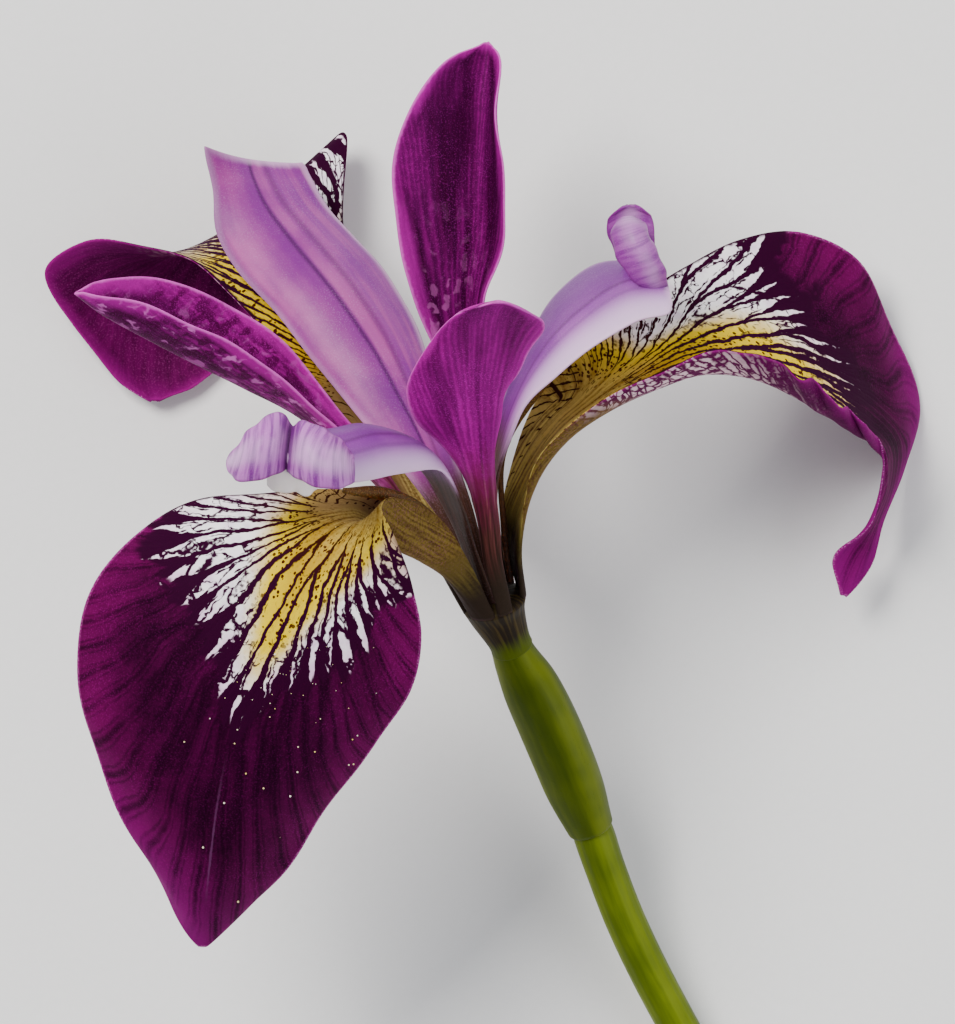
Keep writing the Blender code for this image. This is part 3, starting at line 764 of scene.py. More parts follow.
    # the under side
    olive = mix((122, 100, 42), (60, 36, 16), lines * 0.55 + speck * 0.35)
    blots = finish.walls(vector(column * 1.7 + tremble, reach * 1.1 + tremble))
    blots = (blots + ragged * 1.4).fade(0.06, 0.22)
    spotted = mix((230, 196, 204), (84, 2, 62), blots)
    dull = mix((92, 0, 72), (44, 0, 34), (1 - streaks) * 0.5 + dark_line * 0.3)
    lower = mix(olive, spotted, (reach + bend * 4).ramp(0, 5))
    lower = mix(lower, dull, (signal + ragged).ramp(0.5, 0.95))
    lower = mix(lower, (134, 0, 110), (edge + clouds * 3).fade(0, 3, 0.7) * signal.ramp(0.7, 1.3))
    lower = mix(lower, (150, 8, 124), edge.fade(0, 0.5, 0.5) * reach.ramp(0, 8))
    # painted sparkle on the under side too
    lower = painted_sparkle(finish, lower, (170, 60, 140), fine=0.16, strength=0.25)
    colour = mix(upper, lower, under > 0.5)
    claw = mix((48, 36, 22), (112, 98, 44), lines * 0.7 + speck * 0.2)
    claw = mix((46, 36, 28), claw, along.ramp(2.5, 7))
    colour = mix(colour, claw, (along + bend * 4).fade(5, 11))

    grain = noise(0.3, detail=1)
    finish.relief(main.low(twig).fade(0, 0.5, 0.6) + grain * 0.35, 0.05)
    finish.show(colour, clouds * 0.15 + 0.6)
    return finish


fall_velvet = fall_finish()

# %% Pollen
def ball(rings, sides):
    """A unit ball (sin a cos t, sin a sin t, cos a), with one point at each pole."""
    polar = np.pi * np.arange(1, rings)[:, None] / rings
    turn = 2 * np.pi * np.arange(sides)[None] / sides
    flat = np.sin(polar)
    points = np.stack([flat * np.cos(turn), flat * np.sin(turn), np.cos(polar) + 0 * turn], axis=2)
    vertices = np.concatenate([points.reshape(-1, 3), [(0, 0, 1), (0, 0, -1)]])
    return vertices, [np.roll(group[:, ::-1], 1, axis=1) for group in ring_faces(rings - 1, sides)]


def scattered(places, outward, seed):
    """Pollen grains 0.05 to 0.21 mm across, most of them small, each sunk a little in the skin."""
    draw = np.random.default_rng(seed)
    radius = 0.025 + 0.08 * draw.uniform(0, 1, len(places)) ** 3
    points, groups = ball(6, 10)
    centres = places + outward * (radius * 0.6)[:, None]
    vertices = (centres[:, None] + points[None] * radius[:, None, None]).reshape(-1, 3)
    starts = np.arange(len(places))[:, None, None] * len(points)
    faces = [(group[None] + starts).reshape(-1, group.shape[1]) for group in groups]
    return vertices, faces, {"shade": np.repeat(draw.uniform(0, 1, len(places)), len(points))}


def pollen_finish():
    """Cream to yellow, rough and dusty."""
    finish = Finish("pollen_cream", {"Specular IOR Level": 0.2})
    cream = finish.mix((254, 248, 236), (240, 216, 120), finish.field("shade"))
    finish.show(finish.mix(cream, (214, 170, 60), finish.noise(0.1).ramp(0.4, 0.7, 0, 0.4)), 0.8)
    return finish


pollen_cream = pollen_finish()

# %% The patches' outlines, as pairs of fan and reach
FRONT_WHITE = (
    (-1.4, 18), (-0.6, 17.5), (-0.47, 18.5), (-0.42, 18), (-0.32, 16), (-0.2, 16.5), (-0.1, 19),
    (0, 21.5), (0.06, 19.5), (0.12, 16.5), (0.27, 13.5), (0.41, 11.8), (0.57, 9), (0.66, 9), (1.4, 8.5),
)
FRONT_GOLD = (
    (-1.4, 2), (-0.8, 3.5), (-0.6, 5.5), (-0.42, 7), (-0.25, 9), (-0.1, 12.5), (0, 15.5), (0.07, 13),
    (0.2, 9.5), (0.4, 6.5), (0.7, 3), (1.4, 2),
)
RIGHT_WHITE = (
    (-1.4, 30), (-0.38, 29), (-0.33, 28), (-0.3, 26), (-0.25, 24.5), (-0.15, 27), (-0.07, 29),
    (0.1, 28.5), (0.4, 22), (1.4, 18),
)
RIGHT_GOLD = (
    (-1.4, 5), (-0.45, 6), (-0.38, 9), (-0.3, 13), (-0.22, 18), (-0.1, 23), (0, 25), (0.2, 22),
    (0.5, 14), (1.4, 8),
)
BACK_WHITE = ((-1.4, 26), (-0.4, 27), (-0.27, 28), (0, 29), (0.1, 28), (0.24, 30), (0.3, 28), (1.4, 26))
BACK_GOLD = ((-1.4, 12), (-0.4, 15), (-0.34, 18), (-0.25, 21), (0, 21), (0.2, 15), (1.4, 8))

# %% The three falls
FALL_GRID = (190, 110)
FALL_RUFFLE, FALL_WAVES = 0.4, (3.0, 5.0, 8.0)
FALL_THICKNESS = (0.6, 0.34)
FRILL = {"start": 34.0, "end": 64.0, "wave": 6.4, "size": 0.5}
POLLEN_FAN, FAN_SPREAD = 0.15, 0.25
POLLEN_REACH, REACH_SPREAD = 15, 5

# fan_shape: mouth, half_mouth, splay, sway and crowd, as vein_fields takes them
for name, stations, fan_shape, white, gold, inside, seed, grains in (
    ("front", FALL_FRONT, (23.5, 4.0, 1.3, 2.0, 1.0), FRONT_WHITE, FRONT_GOLD, -1, 11, 90),
    ("right", FALL_RIGHT, (18.5, 4.4, 1.55, 0.0, 1.5), RIGHT_WHITE, RIGHT_GOLD, 1, 12, 14),
    ("back", FALL_BACK, (20.0, 4.0, 1.4, 0.0, 1.8), BACK_WHITE, BACK_GOLD, 1, 13, 0),
):
    sheet = ripple(petal_points(stations, *FALL_GRID), FALL_RUFFLE, FALL_WAVES, seed)
    if name == "right":
        sheet = frilled(sheet, **FRILL)
    fields = vein_fields(sheet, *fan_shape, white, gold)
    # 1 on the right fall only: painted light for its haft, which lies in the arm's shade
    fields["pale"] = float(name == "right")
    if name == "back":
        fields["steps"] = fields["edge"] * 1.5 - fields["along"] * 0.35
        fields["lonely"] = np.clip(fields["fan"] * 10 - 1.2, 0, 1) * np.clip(fields["reach"] / 3 - 4, 0, 1)
    thickness = petal_thickness(sheet, *FALL_THICKNESS)
    body = skinned(sheet, thickness, fields, inside)
    make_piece(f"fine_fall_{name}", body, fall_velvet, f"fall_{name}")
    if grains:
        off_fan = (fields["fan"] - POLLEN_FAN) / FAN_SPREAD
        off_reach = np.abs(fields["reach"] - POLLEN_REACH) / REACH_SPREAD
        likely = (np.exp(-(off_fan**2) - off_reach) * (fields["edge"] > 1)).ravel()
        likely = likely / likely.sum()
        chosen = np.random.default_rng(seed).choice(likely.size, grains, replace=False, p=likely)
        outward = normals(sheet).reshape(-1, 3)[chosen] * inside
        places = sheet.reshape(-1, 3)[chosen] + outward * thickness.ravel()[chosen, None] / 2
        make_piece(f"pollen_{name}", scattered(places, outward, seed), pollen_cream)


# %% [markdown]
# ## The standards
# The standards are narrower and plain magenta. The left one is folded along its length, the front one
# leans to the eye so that it looks short, and the upright one stands tall. Their veins run nearly side
# by side and fork towards the edge. Pale flecks show at their roots, and the edge is lighter.

# %% Lines of the standards
STANDARD_FRONT = [
    seat(271, 299, 2.8),
    ((-2, 3.4, 6), (-1.2, 3.4, 6.6), (-0.4, 3.7, 6.2)),
    ((-2.8, 8, 9), (-1.8, 8.2, 9.9), (-0.9, 8.6, 9)),
    ((-4.6, 12.4, 11.4), (-2.2, 13.2, 13.4), (-1, 13.4, 12.2)),
    ((-8, 16.2, 14.8), (-2.3, 17.8, 17.8), (-0.3, 18.2, 16.4)),
    ((-9.1, 19.2, 18.6), (-2.2, 21.6, 22.4), (1.5, 21.6, 21)),
    ((-7.3, 22.8, 22.8), (-1.8, 24.6, 26.8), (3.4, 24.5, 25.6)),
    ((-4.8, 25.6, 27.4), (-1.2, 26.4, 30.4), (2.4, 25.8, 29.6)),
    ((-1.8, 26.6, 32.2), (-0.8, 26.8, 33.2), (0.3, 26.6, 32.8)),
]
STANDARD_LEFT = [
    seat(196, 164, 2.8),
    ((-7.7, 5.9, 3.6), (-8, 5.9, 2.4), (-7.5, 6.6, 1.4)),
    ((-12.4, 12.2, 6.6), (-13, 11.6, 4), (-12.2, 13.4, 2)),
    ((-18.6, 18.6, 9.4), (-18.8, 16.6, 4.8), (-17, 19.4, 2.4)),
    ((-24.2, 22.7, 11.6), (-24, 19.4, 6), (-20.6, 23.8, 3.2)),
    ((-29.4, 25.5, 13), (-28.8, 21.8, 7.6), (-25.6, 27, 4.6)),
    ((-34, 27.2, 13.6), (-33.4, 24.2, 9.2), (-31.4, 29.4, 6.8)),
    ((-37.6, 27.8, 13.4), (-37, 26.2, 10.8), (-36, 29.4, 9.4)),
    ((-39.4, 28.2, 12.8), (-39.4, 28, 12.2), (-39.2, 28.6, 11.8)),
]
STANDARD_UPRIGHT = [
    seat(76, 44, 2.8),
    ((-2.8, 8, -1.6), (-1.9, 8, -2.2), (-0.9, 7.8, -1.6)),
    ((-4.4, 14.8, -2.2), (-3, 14.8, -3), (-1.6, 14.6, -2)),
    ((-5.8, 21, -1), (-3.5, 21.2, -2.4), (-2, 21.2, -0.4)),
    ((-8.6, 27.6, 1.8), (-3.6, 27.6, -0.8), (-1.9, 27.6, 2.6)),
    ((-10, 33.6, 3.4), (-3.1, 33.4, 0.6), (0, 33.6, 4.8)),
    ((-10.4, 39.6, 4.4), (-2.7, 39.4, 1.6), (-0.5, 39.6, 6)),
    ((-9.1, 44.9, 4.4), (-2.3, 45, 2), (-0.9, 44.8, 5.8)),
    ((-5.9, 49.3, 3.4), (-1.9, 49.4, 1.4), (-0.4, 49.2, 3.8)),
    ((-2.6, 51.2, 1.6), (-1.8, 51.4, 1), (-1.1, 51.2, 1.6)),
]


# %% The standards' finish
STANDARD_FORKS = [(2.0, 4.0), (8.0, 6.0), (18.0, 10.0)]


def standard_finish():
    """Bright magenta, painted darker on the standards that lie in shade, with dark fans of veins, a light
    edge, flecks and a brown claw.
    """
    finish = Finish("standard_velvet", PETAL_SKIN)
    mix, noise, streaked = finish.mix, finish.noise, finish.streaked
    fan, reach, cell, along, edge = finish.fields("fan reach cell along edge")
    share, length, bright = finish.fields("share length bright")
    wander = streaked(fan * 3, reach * 0.05, detail=1) - 0.5
    tremble = noise(1.3) - 0.5
    column = finish.field("column") * 2 + wander * 1.2 + tremble * 0.5 / cell.high(0.8)
    fine = forked(finish, column, reach, cell * 0.5, STANDARD_FORKS)
    ragged = (noise(0.6, detail=3) - 0.5) * 0.4
    streaks = streaked(fan * 13, reach * 0.05, detail=3).ramp(0.36, 0.62)
    lines = (fine + ragged).fade(0, 0.3)
    # painted light: each standard's magenta is lighter as more light falls on it, the front one lit, the
    # upright one in shade and the left one between; its sparkle follows
    skin = mix((50, 0, 38), (162, 0, 138), streaks * 0.56 + bright * 0.48 - 0.06)
    skin = mix(skin, (52, 0, 46), lines * (1 - bright * 0.35) * 0.6)
    # folded is 1 on the left standard, whose painted light is half
    folded = 1 - abs(bright - 0.5) * 2
    mottle_and_gleam = streaked(share * 4 + tremble * 2, along * 0.55, detail=3)
    skin = mix(skin, (56, 0, 42), mottle_and_gleam.ramp(0.48, 0.58) * folded * 0.75)
    # the pale blotches are painted highlight, a wet-looking gleam on the folded standard, strongest on one
    # flap; the line above paints dark blotches
    skin = mix(skin, (220, 120, 204), mottle_and_gleam.ramp(0.43, 0.34) * folded * share.ramp(-1, 0.2, 0.8, 0.15))
    rim = (edge + (streaks - 0.5) * 1.4 + ragged).fade(0.1, 1.6)
    skin = mix(skin, (176, 16, 152), rim * 0.7)
    skin = mix(skin, (220, 100, 198), (edge + ragged).fade(0, 0.4, 0.65))
    flecks = finish.walls(finish.vector(fan * 18, reach * 0.5 + tremble))
    flecks = (flecks + ragged).ramp(0.14, 0.26) * noise(2.4, detail=3).ramp(0.46, 0.56)
    flecks = flecks * length.fade(0.25, 0.7, 0.7) * (1 - bright) * share.ramp(-0.4, 0.3, 1, 0.15)
    skin = mix(skin, (206, 108, 184), flecks)
    # painted sparkle, stronger on the more lit standards
    skin = painted_sparkle(finish, skin, (216, 40, 196), fine=0.13, strength=0.2 + bright * bright * 0.25)
    ribs = streaked(share * 4, along * 0.1, detail=3).ramp(0.36, 0.64)
    red = mix((96, 30, 44), (124, 82, 56), ribs.ramp(0.6, 0.9, 0, 0.6))
    skin = mix(skin, red, (along + ribs * 2 + tremble * 3).fade(13, 22, 0.9))
    claw = mix((44, 28, 24), (88, 48, 44), ribs)
    claw = mix((46, 36, 28), claw, along.ramp(3, 9))
    skin = mix(skin, claw, (along + ribs * 3 + tremble * 3).fade(9.5, 16.5))
    finish.relief(fine.fade(0, 0.4, 0.5) + noise(0.28, detail=1) * 0.5, 0.06)
    finish.show(skin, tremble * 0.15 + 0.5)
    return finish


standard_velvet = standard_finish()

# %% The three standards
STANDARD_GRID = (130, 70)
STANDARD_RUFFLE, STANDARD_WAVES = 0.3, (3.0, 5.0, 7.0)
STANDARD_THICKNESS = (0.55, 0.32)
STANDARD_FAN = {"mouth": 9.0, "half_mouth": 1.6, "splay": 1.2}

# the fourth number is the painted light on each standard, 1 lit and 0 in shade
for name, stations, fold, bright, seed in (
    ("front", STANDARD_FRONT, 2.0, 1.0, 21),
    ("left", STANDARD_LEFT, 1.4, 0.5, 22),
    ("upright", STANDARD_UPRIGHT, 1.6, 0.0, 23),
):
    sheet = petal_points(stations, *STANDARD_GRID, fold)
    sheet = ripple(sheet, STANDARD_RUFFLE, STANDARD_WAVES, seed)
    fields = vein_fields(sheet, **STANDARD_FAN)
    fields["length"] = fields["along"] / fields["along"].max()
    fields["bright"] = bright
    body = skinned(sheet, petal_thickness(sheet, *STANDARD_THICKNESS), fields)
    make_piece(f"fine_standard_{name}", body, standard_velvet, f"standard_{name}")


# %% [markdown]
# ## The style arms and their crests
# A style arm is the top of the flower's seed-bearing part, spread like a petal over the fall's root.
# It ends in a crest of two curled lobes. It is lilac with a purple line along its ridge and nearly
# white edges. The lobes are sheets of the same kind whose roots lie inside the arm, so arm and crest
# are one piece, as in the flower.

# %% Lines of the arms and lobes
ARM_FRONT = [
    seat(200, 276, 1.25),
    ((-4.5, 5.8, 3.8), (-3.6, 5.4, 5.3), (-2.9, 5, 5.6)),
    ((-7.4, 11.2, 7.4), (-5.7, 11.1, 10.2), (-4.4, 9.4, 10.8)),
    ((-10.6, 14.6, 12.8), (-8, 14.2, 16.4), (-6, 11.7, 16.4)),
    ((-13.4, 15.8, 18.2), (-11.4, 14.8, 21.8), (-9.8, 11.4, 21.2)),
    ((-16.4, 15.4, 23.2), (-15, 14, 26.4), (-13.8, 10.6, 25.4)),
    ((-18.8, 14.6, 27.2), (-18.2, 13.2, 29.6), (-17.6, 10.6, 28.8)),
    ((-20, 13.8, 29.6), (-19.7, 12.9, 31.2), (-19.4, 11.2, 30.6)),
]
ARM_RIGHT = [
    seat(38, -38, 1.25),
    ((-1.9, 7.2, 1.2), (-1, 6.4, 3), (-1.1, 5.6, 4.4)),
    ((-1.4, 13.8, 1.2), (-0.8, 12.4, 4.6), (-0.9, 10.6, 6.6)),
    ((0.7, 20.7, 0.5), (1.2, 18.6, 5.8), (1.2, 16.8, 8.8)),
    ((3.6, 26.6, -0.2), (4.2, 23.6, 6.4), (4.6, 20.4, 10.2)),
    ((7, 30.2, -0.3), (7.8, 27, 6.6), (8.4, 23.4, 10.8)),
    ((10.4, 31.2, 0.7), (11, 28.9, 6.6), (11.8, 25.4, 10.6)),
    ((13.4, 30.3, 2.8), (13.6, 29, 7.2), (14.6, 26, 9.8)),
    ((14.8, 29.2, 5.4), (14.9, 28.4, 7.4), (15.2, 26.8, 8.8)),
]
ARM_BACK = [
    seat(160, 84, 1.25),
    ((-5.2, 5.8, 1.4), (-4, 6.6, 0.8), (-2.8, 7.2, 0.2)),
    ((-9.4, 11.6, 1.4), (-6.9, 12.8, 1), (-4.9, 13.8, 0)),
    ((-13.8, 16.9, 0), (-9.8, 18.8, 0), (-6.6, 20.2, -1.9)),
    ((-17.6, 21.6, -2), (-12.8, 24, -1.8), (-8.5, 25.5, -5.2)),
    ((-21.3, 26.4, -4.4), (-16.2, 28.8, -4), (-11.1, 30.1, -8)),
    ((-25, 30.4, -6.8), (-19.2, 32.6, -6.4), (-14.2, 33.8, -10.2)),
    ((-27, 34, -8.4), (-21.8, 35.9, -8.4), (-16.8, 36.6, -11.2)),
    ((-27.4, 38.2, -8.8), (-23.4, 38.9, -10), (-18.2, 39.2, -11.6)),
    ((-28.3, 42.2, -8.4), (-24, 40.9, -11), (-18.8, 40.7, -11.2)),
]
CREST_FRONT_NEAR = [
    ((-19.2, 15.6, 30.4), (-19.5, 13.4, 31), (-19.7, 11.6, 30.4)),
    ((-18.2, 16.2, 32), (-18.3, 13.4, 33.6), (-18.4, 10.7, 32.8)),
    ((-16.4, 15.3, 32), (-16.4, 12.8, 34), (-16.2, 10.1, 33)),
    ((-15, 14.6, 30.6), (-14.7, 12.5, 32.4), (-14.4, 10.2, 31.6)),
    ((-14, 13.4, 29.2), (-13.8, 12.2, 30), (-13.7, 10.8, 29.6)),
]
CREST_FRONT_FAR = [
    ((-19.2, 15.6, 29.6), (-19.5, 13.6, 30.6), (-19.6, 12, 30.2)),
    ((-20.6, 17, 31), (-20.8, 14.2, 32.6), (-21, 11.2, 31.8)),
    ((-22.4, 15.9, 31), (-22.6, 13.6, 33), (-22.8, 10.7, 32)),
    ((-24, 14.2, 30.4), (-24.2, 12.7, 31.6), (-24.3, 10.9, 31)),
    ((-25, 13, 29.6), (-25.1, 12.4, 30), (-25.1, 11.6, 29.8)),
]
CREST_RIGHT_NEAR = [
    ((13.4, 27.4, 6.8), (14.2, 28, 7.2), (14.9, 28.4, 6.6)),
    ((11.4, 29.6, 8.4), (13.2, 30, 9.6), (14.6, 30, 8.4)),
    ((10.1, 31.4, 8.6), (12.1, 32.2, 10.2), (13.8, 31.8, 8.8)),
    ((9.7, 33.2, 7.8), (11.4, 34.2, 9.4), (13.2, 33.4, 8)),
    ((10.2, 34.8, 6.6), (11.4, 35.1, 7.4), (12.6, 34.6, 6.6)),
]
CREST_RIGHT_FAR = [
    ((12.4, 29.2, 3.8), (13.4, 29.2, 4.6), (14.4, 28.8, 4.8)),
    ((10.4, 31.4, 3.4), (12, 31.6, 4.6), (13.8, 31.2, 4.8)),
    ((9.4, 33.4, 4), (11.4, 33.8, 5), (13.7, 33.2, 4.8)),
    ((9.4, 35, 5), (11.4, 35.6, 5.4), (13.5, 34.9, 5)),
    ((10.4, 35.9, 5.8), (11.6, 36.2, 5.9), (12.8, 35.8, 5.8)),
]


# %% The arms' finish
def arm_finish():
    """Lilac with purple creases deepened by painted shade, paler edges, and purple streaks on the crest."""
    finish = Finish("style_lilac", {**PETAL_SKIN, "Subsurface Weight": 0.12, "Specular IOR Level": 0.2})
    mix, noise, streaked = finish.mix, finish.noise, finish.streaked
    share, along, edge = finish.fields("share along edge")
    crest, deep, lip, cool, vivid = finish.fields("crest deep lip cool vivid")
    streaks = streaked(share * 6, along * 0.06, detail=3)
    clouds = noise(6, detail=3)
    tone = (streaks * 0.25 + clouds * 0.75).ramp(0.36, 0.64)
    pink = mix((172, 78, 148), (126, 34, 124), tone * 0.8)
    pink = mix(pink, (112, 30, 134), share.ramp(-0.1, 0.5, 0, 0.6) * streaks.ramp(0.3, 0.6, 0.4, 1))
    lilac = mix((160, 74, 172), (122, 30, 144), tone * 0.7)
    skin = mix(pink, lilac, cool)
    # paler lower flank on the lilac arms: partly their own pale side, partly painted light where the arm
    # faces away from the light; the next line is a painted highlight towards the crest end
    skin = mix(skin, (222, 166, 230), share.ramp(-0.1, 0.9, 0, 0.45) * cool)
    skin = mix(skin, (246, 228, 248), share.ramp(0.2, 0.9) * along.ramp(16, 26) * cool * 0.45)
    skin = mix(skin, (86, 2, 108), deep * 0.85)

    # a dark groove with a soft purple slope on its left, and a fainter one beside it. The groove's line is
    # the arm's purple midline, deepened as painted shade in the crease, and the slope is painted shade on
    # one side of the crease.
    groove = share + 0.04 + (clouds - 0.5) * 0.06
    slope = groove.ramp(-0.7, 0).low(groove.fade(0, 0.1)) * 0.75
    groove = abs(groove).fade(0, 0.07, 0.8)
    second = abs(share - 0.26 + (clouds - 0.5) * 0.08).fade(0, 0.1, 0.45)
    skin = mix(skin, (104, 10, 120), slope * (1 - cool * 0.5))
    skin = mix(skin, (68, 0, 74), groove.high(second) * (1 - cool * 0.5))
    curl = share.fade(-0.94, -0.8, 0.8) * along.ramp(32, 36) * (1 - cool)
    skin = mix(skin, (112, 18, 110), curl)
    light_rim = (edge + (streaks - 0.5) * 0.6).fade(0, 0.9, 0.6) * share.ramp(-1, 0.5, 0.4, 1)
    skin = mix(skin, (230, 190, 226), light_rim)

    # the crest's streaks run from edge to edge
    stripes = streaked(along * 1.9, share * 0.5, detail=4)
    lobe = mix((186, 104, 190), (108, 20, 124), stripes.ramp(0.42, 0.62) * 0.85)
    # painted highlight: the lobes are paler across their middle, where light falls on their tops
    lobe = mix(lobe, (226, 188, 226), abs(share).fade(0.1, 0.7, 0.5) * clouds.ramp(0.3, 0.6))
    lobe = mix(lobe, (124, 22, 130), vivid * 0.35 + vivid * abs(share) * 0.4)
    lobe = mix(lobe, (118, 16, 120), edge.fade(0, 0.35, 0.6))
    # painted shade: darker at the lobes' roots, in the cleft where the two lobes meet
    lobe = mix(lobe, (92, 16, 104), along.fade(0.3, 1.8, 0.8))
    skin = mix(skin, lobe, crest)
    skin = mix(skin, (250, 240, 236), lip)
    claw = mix((44, 30, 20), (84, 52, 40), streaks.ramp(0.3, 0.7))
    low = (along + streaks * 4 - cool * 4).fade(12, 17)
    skin = mix(skin, claw, low * (1 - crest.high(lip)))
    # painted sparkle: faint lighter cells where the skin catches the light
    skin = painted_sparkle(finish, skin, (236, 200, 234), fine=0.13, strength=0.1)
    finish.relief(streaks * (1 - crest) * 0.4 + noise(0.3, detail=1) * 0.35, 0.05)
    finish.show(skin, clouds * 0.2 + 0.32)
    return finish


style_lilac = arm_finish()

# %% The three arms
ARM_GRID, LOBE_GRID, LIP_GRID = (110, 56), (48, 40), (24, 16)
ARM_RUFFLE, LOBE_RUFFLE = 0.12, 0.2
ARM_THICKNESS, LOBE_THICKNESS, LIP_THICKNESS = (0.5, 0.4), (0.35, 0.3), 0.25
LOBES = {
    "front": (CREST_FRONT_NEAR, CREST_FRONT_FAR),
    "right": (CREST_RIGHT_NEAR, CREST_RIGHT_FAR),
    "back": (),
}
STIGMA_LIP = [
    ((-21.2, 12, 30.2), (-21.5, 11.2, 29.4), (-21.5, 10.4, 28.6)),
    ((-20.4, 12, 30.4), (-20.6, 10.9, 29.6), (-20.5, 9.7, 28.4)),
    ((-19.2, 11.8, 30), (-19.4, 10.9, 29.2), (-19.4, 9.9, 28)),
    ((-18, 11.6, 29.2), (-18.2, 10.6, 28.4), (-18.2, 9.5, 27.4)),
    ((-16.8, 11.4, 27.8), (-17, 10.8, 27.4), (-16.9, 10.1, 26.8)),
]
for name, stations, seed in (("front", ARM_FRONT, 31), ("right", ARM_RIGHT, 32), ("back", ARM_BACK, 33)):
    sheet = ripple(petal_points(stations, *ARM_GRID, closing=0.3), ARM_RUFFLE, (3.0, 6.0), seed)
    fields = sheet_measures(sheet)
    fields["cool"] = float(name != "back")
    fields["deep"] = np.clip(0.45 - fields["share"] * 0.8, 0, 1) * fields["cool"]
    bodies = [skinned(sheet, petal_thickness(sheet, *ARM_THICKNESS), fields)]
    if name == "front":
        sheet = ripple(petal_points(STIGMA_LIP, *LIP_GRID, closing=0.8), LOBE_RUFFLE, (3.0,), seed)
        bodies.append(skinned(sheet, LIP_THICKNESS, {**sheet_measures(sheet), "lip": 1.0}))
    for number, lobe in enumerate(LOBES[name]):
        sheet = petal_points(lobe, *LOBE_GRID, closing=0.9)
        sheet = ripple(sheet, LOBE_RUFFLE, (2.0, 4.0), seed + 7 + number)
        fields = {**sheet_measures(sheet), "crest": 1.0, "vivid": float(name == "right")}
        bodies.append(skinned(sheet, petal_thickness(sheet, *LOBE_THICKNESS), fields))
    make_piece(f"fine_style_arm_{name}", joined(bodies), style_lilac, f"style_arm_{name}")


# %% [markdown]
# ## Stamens, tube, ovary and stem
# Under each arm lies one stamen: a slender filament with a long anther. Below the petals the tube
# narrows, brown and olive, into the green ovary, a spindle with three soft corners, and then comes
# the round stem. All are round pieces whose radius changes along a line, so one sum makes them all.

# %% A profile carried along a line
CAP_RINGS = 6
SAMPLES = 400


def rod_body(line, rows, sides, cap, lump=None):
    """Rings round a smooth line: centre(s) + r(s) f(s) (1 + lump(turn, s)) (a cos turn + b sin turn).

    f is 1, but within cap radii of an end it is sqrt(1 - (1 - s / (cap r))^2), which closes the
    end in a soft dome. A fan of triangles joins the last ring to the end point.
    """
    table = np.linspace(0, len(line) - 1, SAMPLES)
    dense = through(line, table)
    travelled = running(dense[:, None, :3], 0, 0)[:, 0]
    length = travelled[-1]
    start, end = cap * dense[0, 3], cap * dense[-1, 3]
    dome = 1 - np.cos(np.linspace(0, np.pi / 2, CAP_RINGS + 1))[1:-1]
    body = np.linspace(start, length - end, rows + 1)
    along = np.concatenate([start * dome, body, length - end * dome[::-1]])
    path = through(line, np.interp(along, travelled, table))
    centres, radii = path[:, :3], path[:, 3]
    near = np.minimum(along / start, (length - along) / end).clip(0, 1)
    radii = radii * np.sqrt(1 - (1 - near) ** 2)
    tangent = np.gradient(centres, along, axis=0)
    tangent /= np.linalg.norm(tangent, axis=1, keepdims=True)
    first = np.cross(tangent, (0, 0, 1.0))
    first /= np.linalg.norm(first, axis=1, keepdims=True)
    second = np.cross(tangent, first)
    turn = np.linspace(0, 2 * np.pi, sides, endpoint=False)
    growth = 1 + (lump(turn[None], along[:, None] / length) if lump else np.zeros((1, sides)))
    ring = np.cos(turn)[None, :, None] * first[:, None] + np.sin(turn)[None, :, None] * second[:, None]
    points = centres[:, None] + ring * (radii[:, None] * growth)[..., None]
    count = len(along)
    vertices = np.concatenate([points.reshape(-1, 3), dense[[0, -1], :3]])
    fields = {
        "along": np.append(np.repeat(along, sides), [0, length]),
        "length": np.append(np.repeat(along / length, sides), [0, 1]),
        "ridge": np.append(np.tile(np.cos(3 * turn), count), [0, 0]),
        "turn": np.append(np.tile(turn / (2 * np.pi), count), [0, 0]),
    }
    return vertices, ring_faces(count, sides), fields


# %% [markdown]
# ## Green and brown finishes
# The tube is brown over olive, with fine lines along it. The ovary is yellow-green with soft ribs and
# a greyish bloom, the stem yellow-green with faint lines, and both are a little waxy. The lighter bloom
# is partly a painted highlight along the ribs. Streaks that run along a piece come from noise stretched
# along it.

# %% Tube, ovary, stem and stamen finishes
WAXY_SKIN = {
    "Subsurface Weight": 0.12,
    "Subsurface Radius": (0.0009, 0.0012, 0.0004),
    "Subsurface Scale": 1.0,
    "Specular IOR Level": 0.12,
}


def stalk_finish(name, dark, light, bloom_and_highlight, shine, streak_size):
    """Faint streaks from dark to light, a lighter waxy coat that is partly painted highlight on the ribs,
    and small pores.
    """
    finish = Finish(name, WAXY_SKIN)
    ridge, turn, along = finish.fields("ridge turn along")
    streaks = finish.noise(streak_size, finish.vector(turn * 10, along * 0.06), detail=3)
    clouds = finish.noise(6)
    skin = finish.mix(dark, light, (streaks * 0.4 + clouds * 0.4 + ridge * 0.08).ramp(0.2, 0.6))
    # the lighter bloom is partly painted highlight, stronger on the ribs
    skin = finish.mix(skin, bloom_and_highlight, (clouds * 0.6 + ridge * 0.2).ramp(0.3, 0.7, 0, 0.35))
    pores = finish.spots(0.5 * MM, finish.place).fade(0.1, 0.3)
    skin = finish.mix(skin, dark, pores * 0.08)
    finish.relief(streaks * 0.5 + pores * 0.3, 0.03)
    finish.show(skin, finish.noise(1.5) * 0.15 + shine)
    return finish


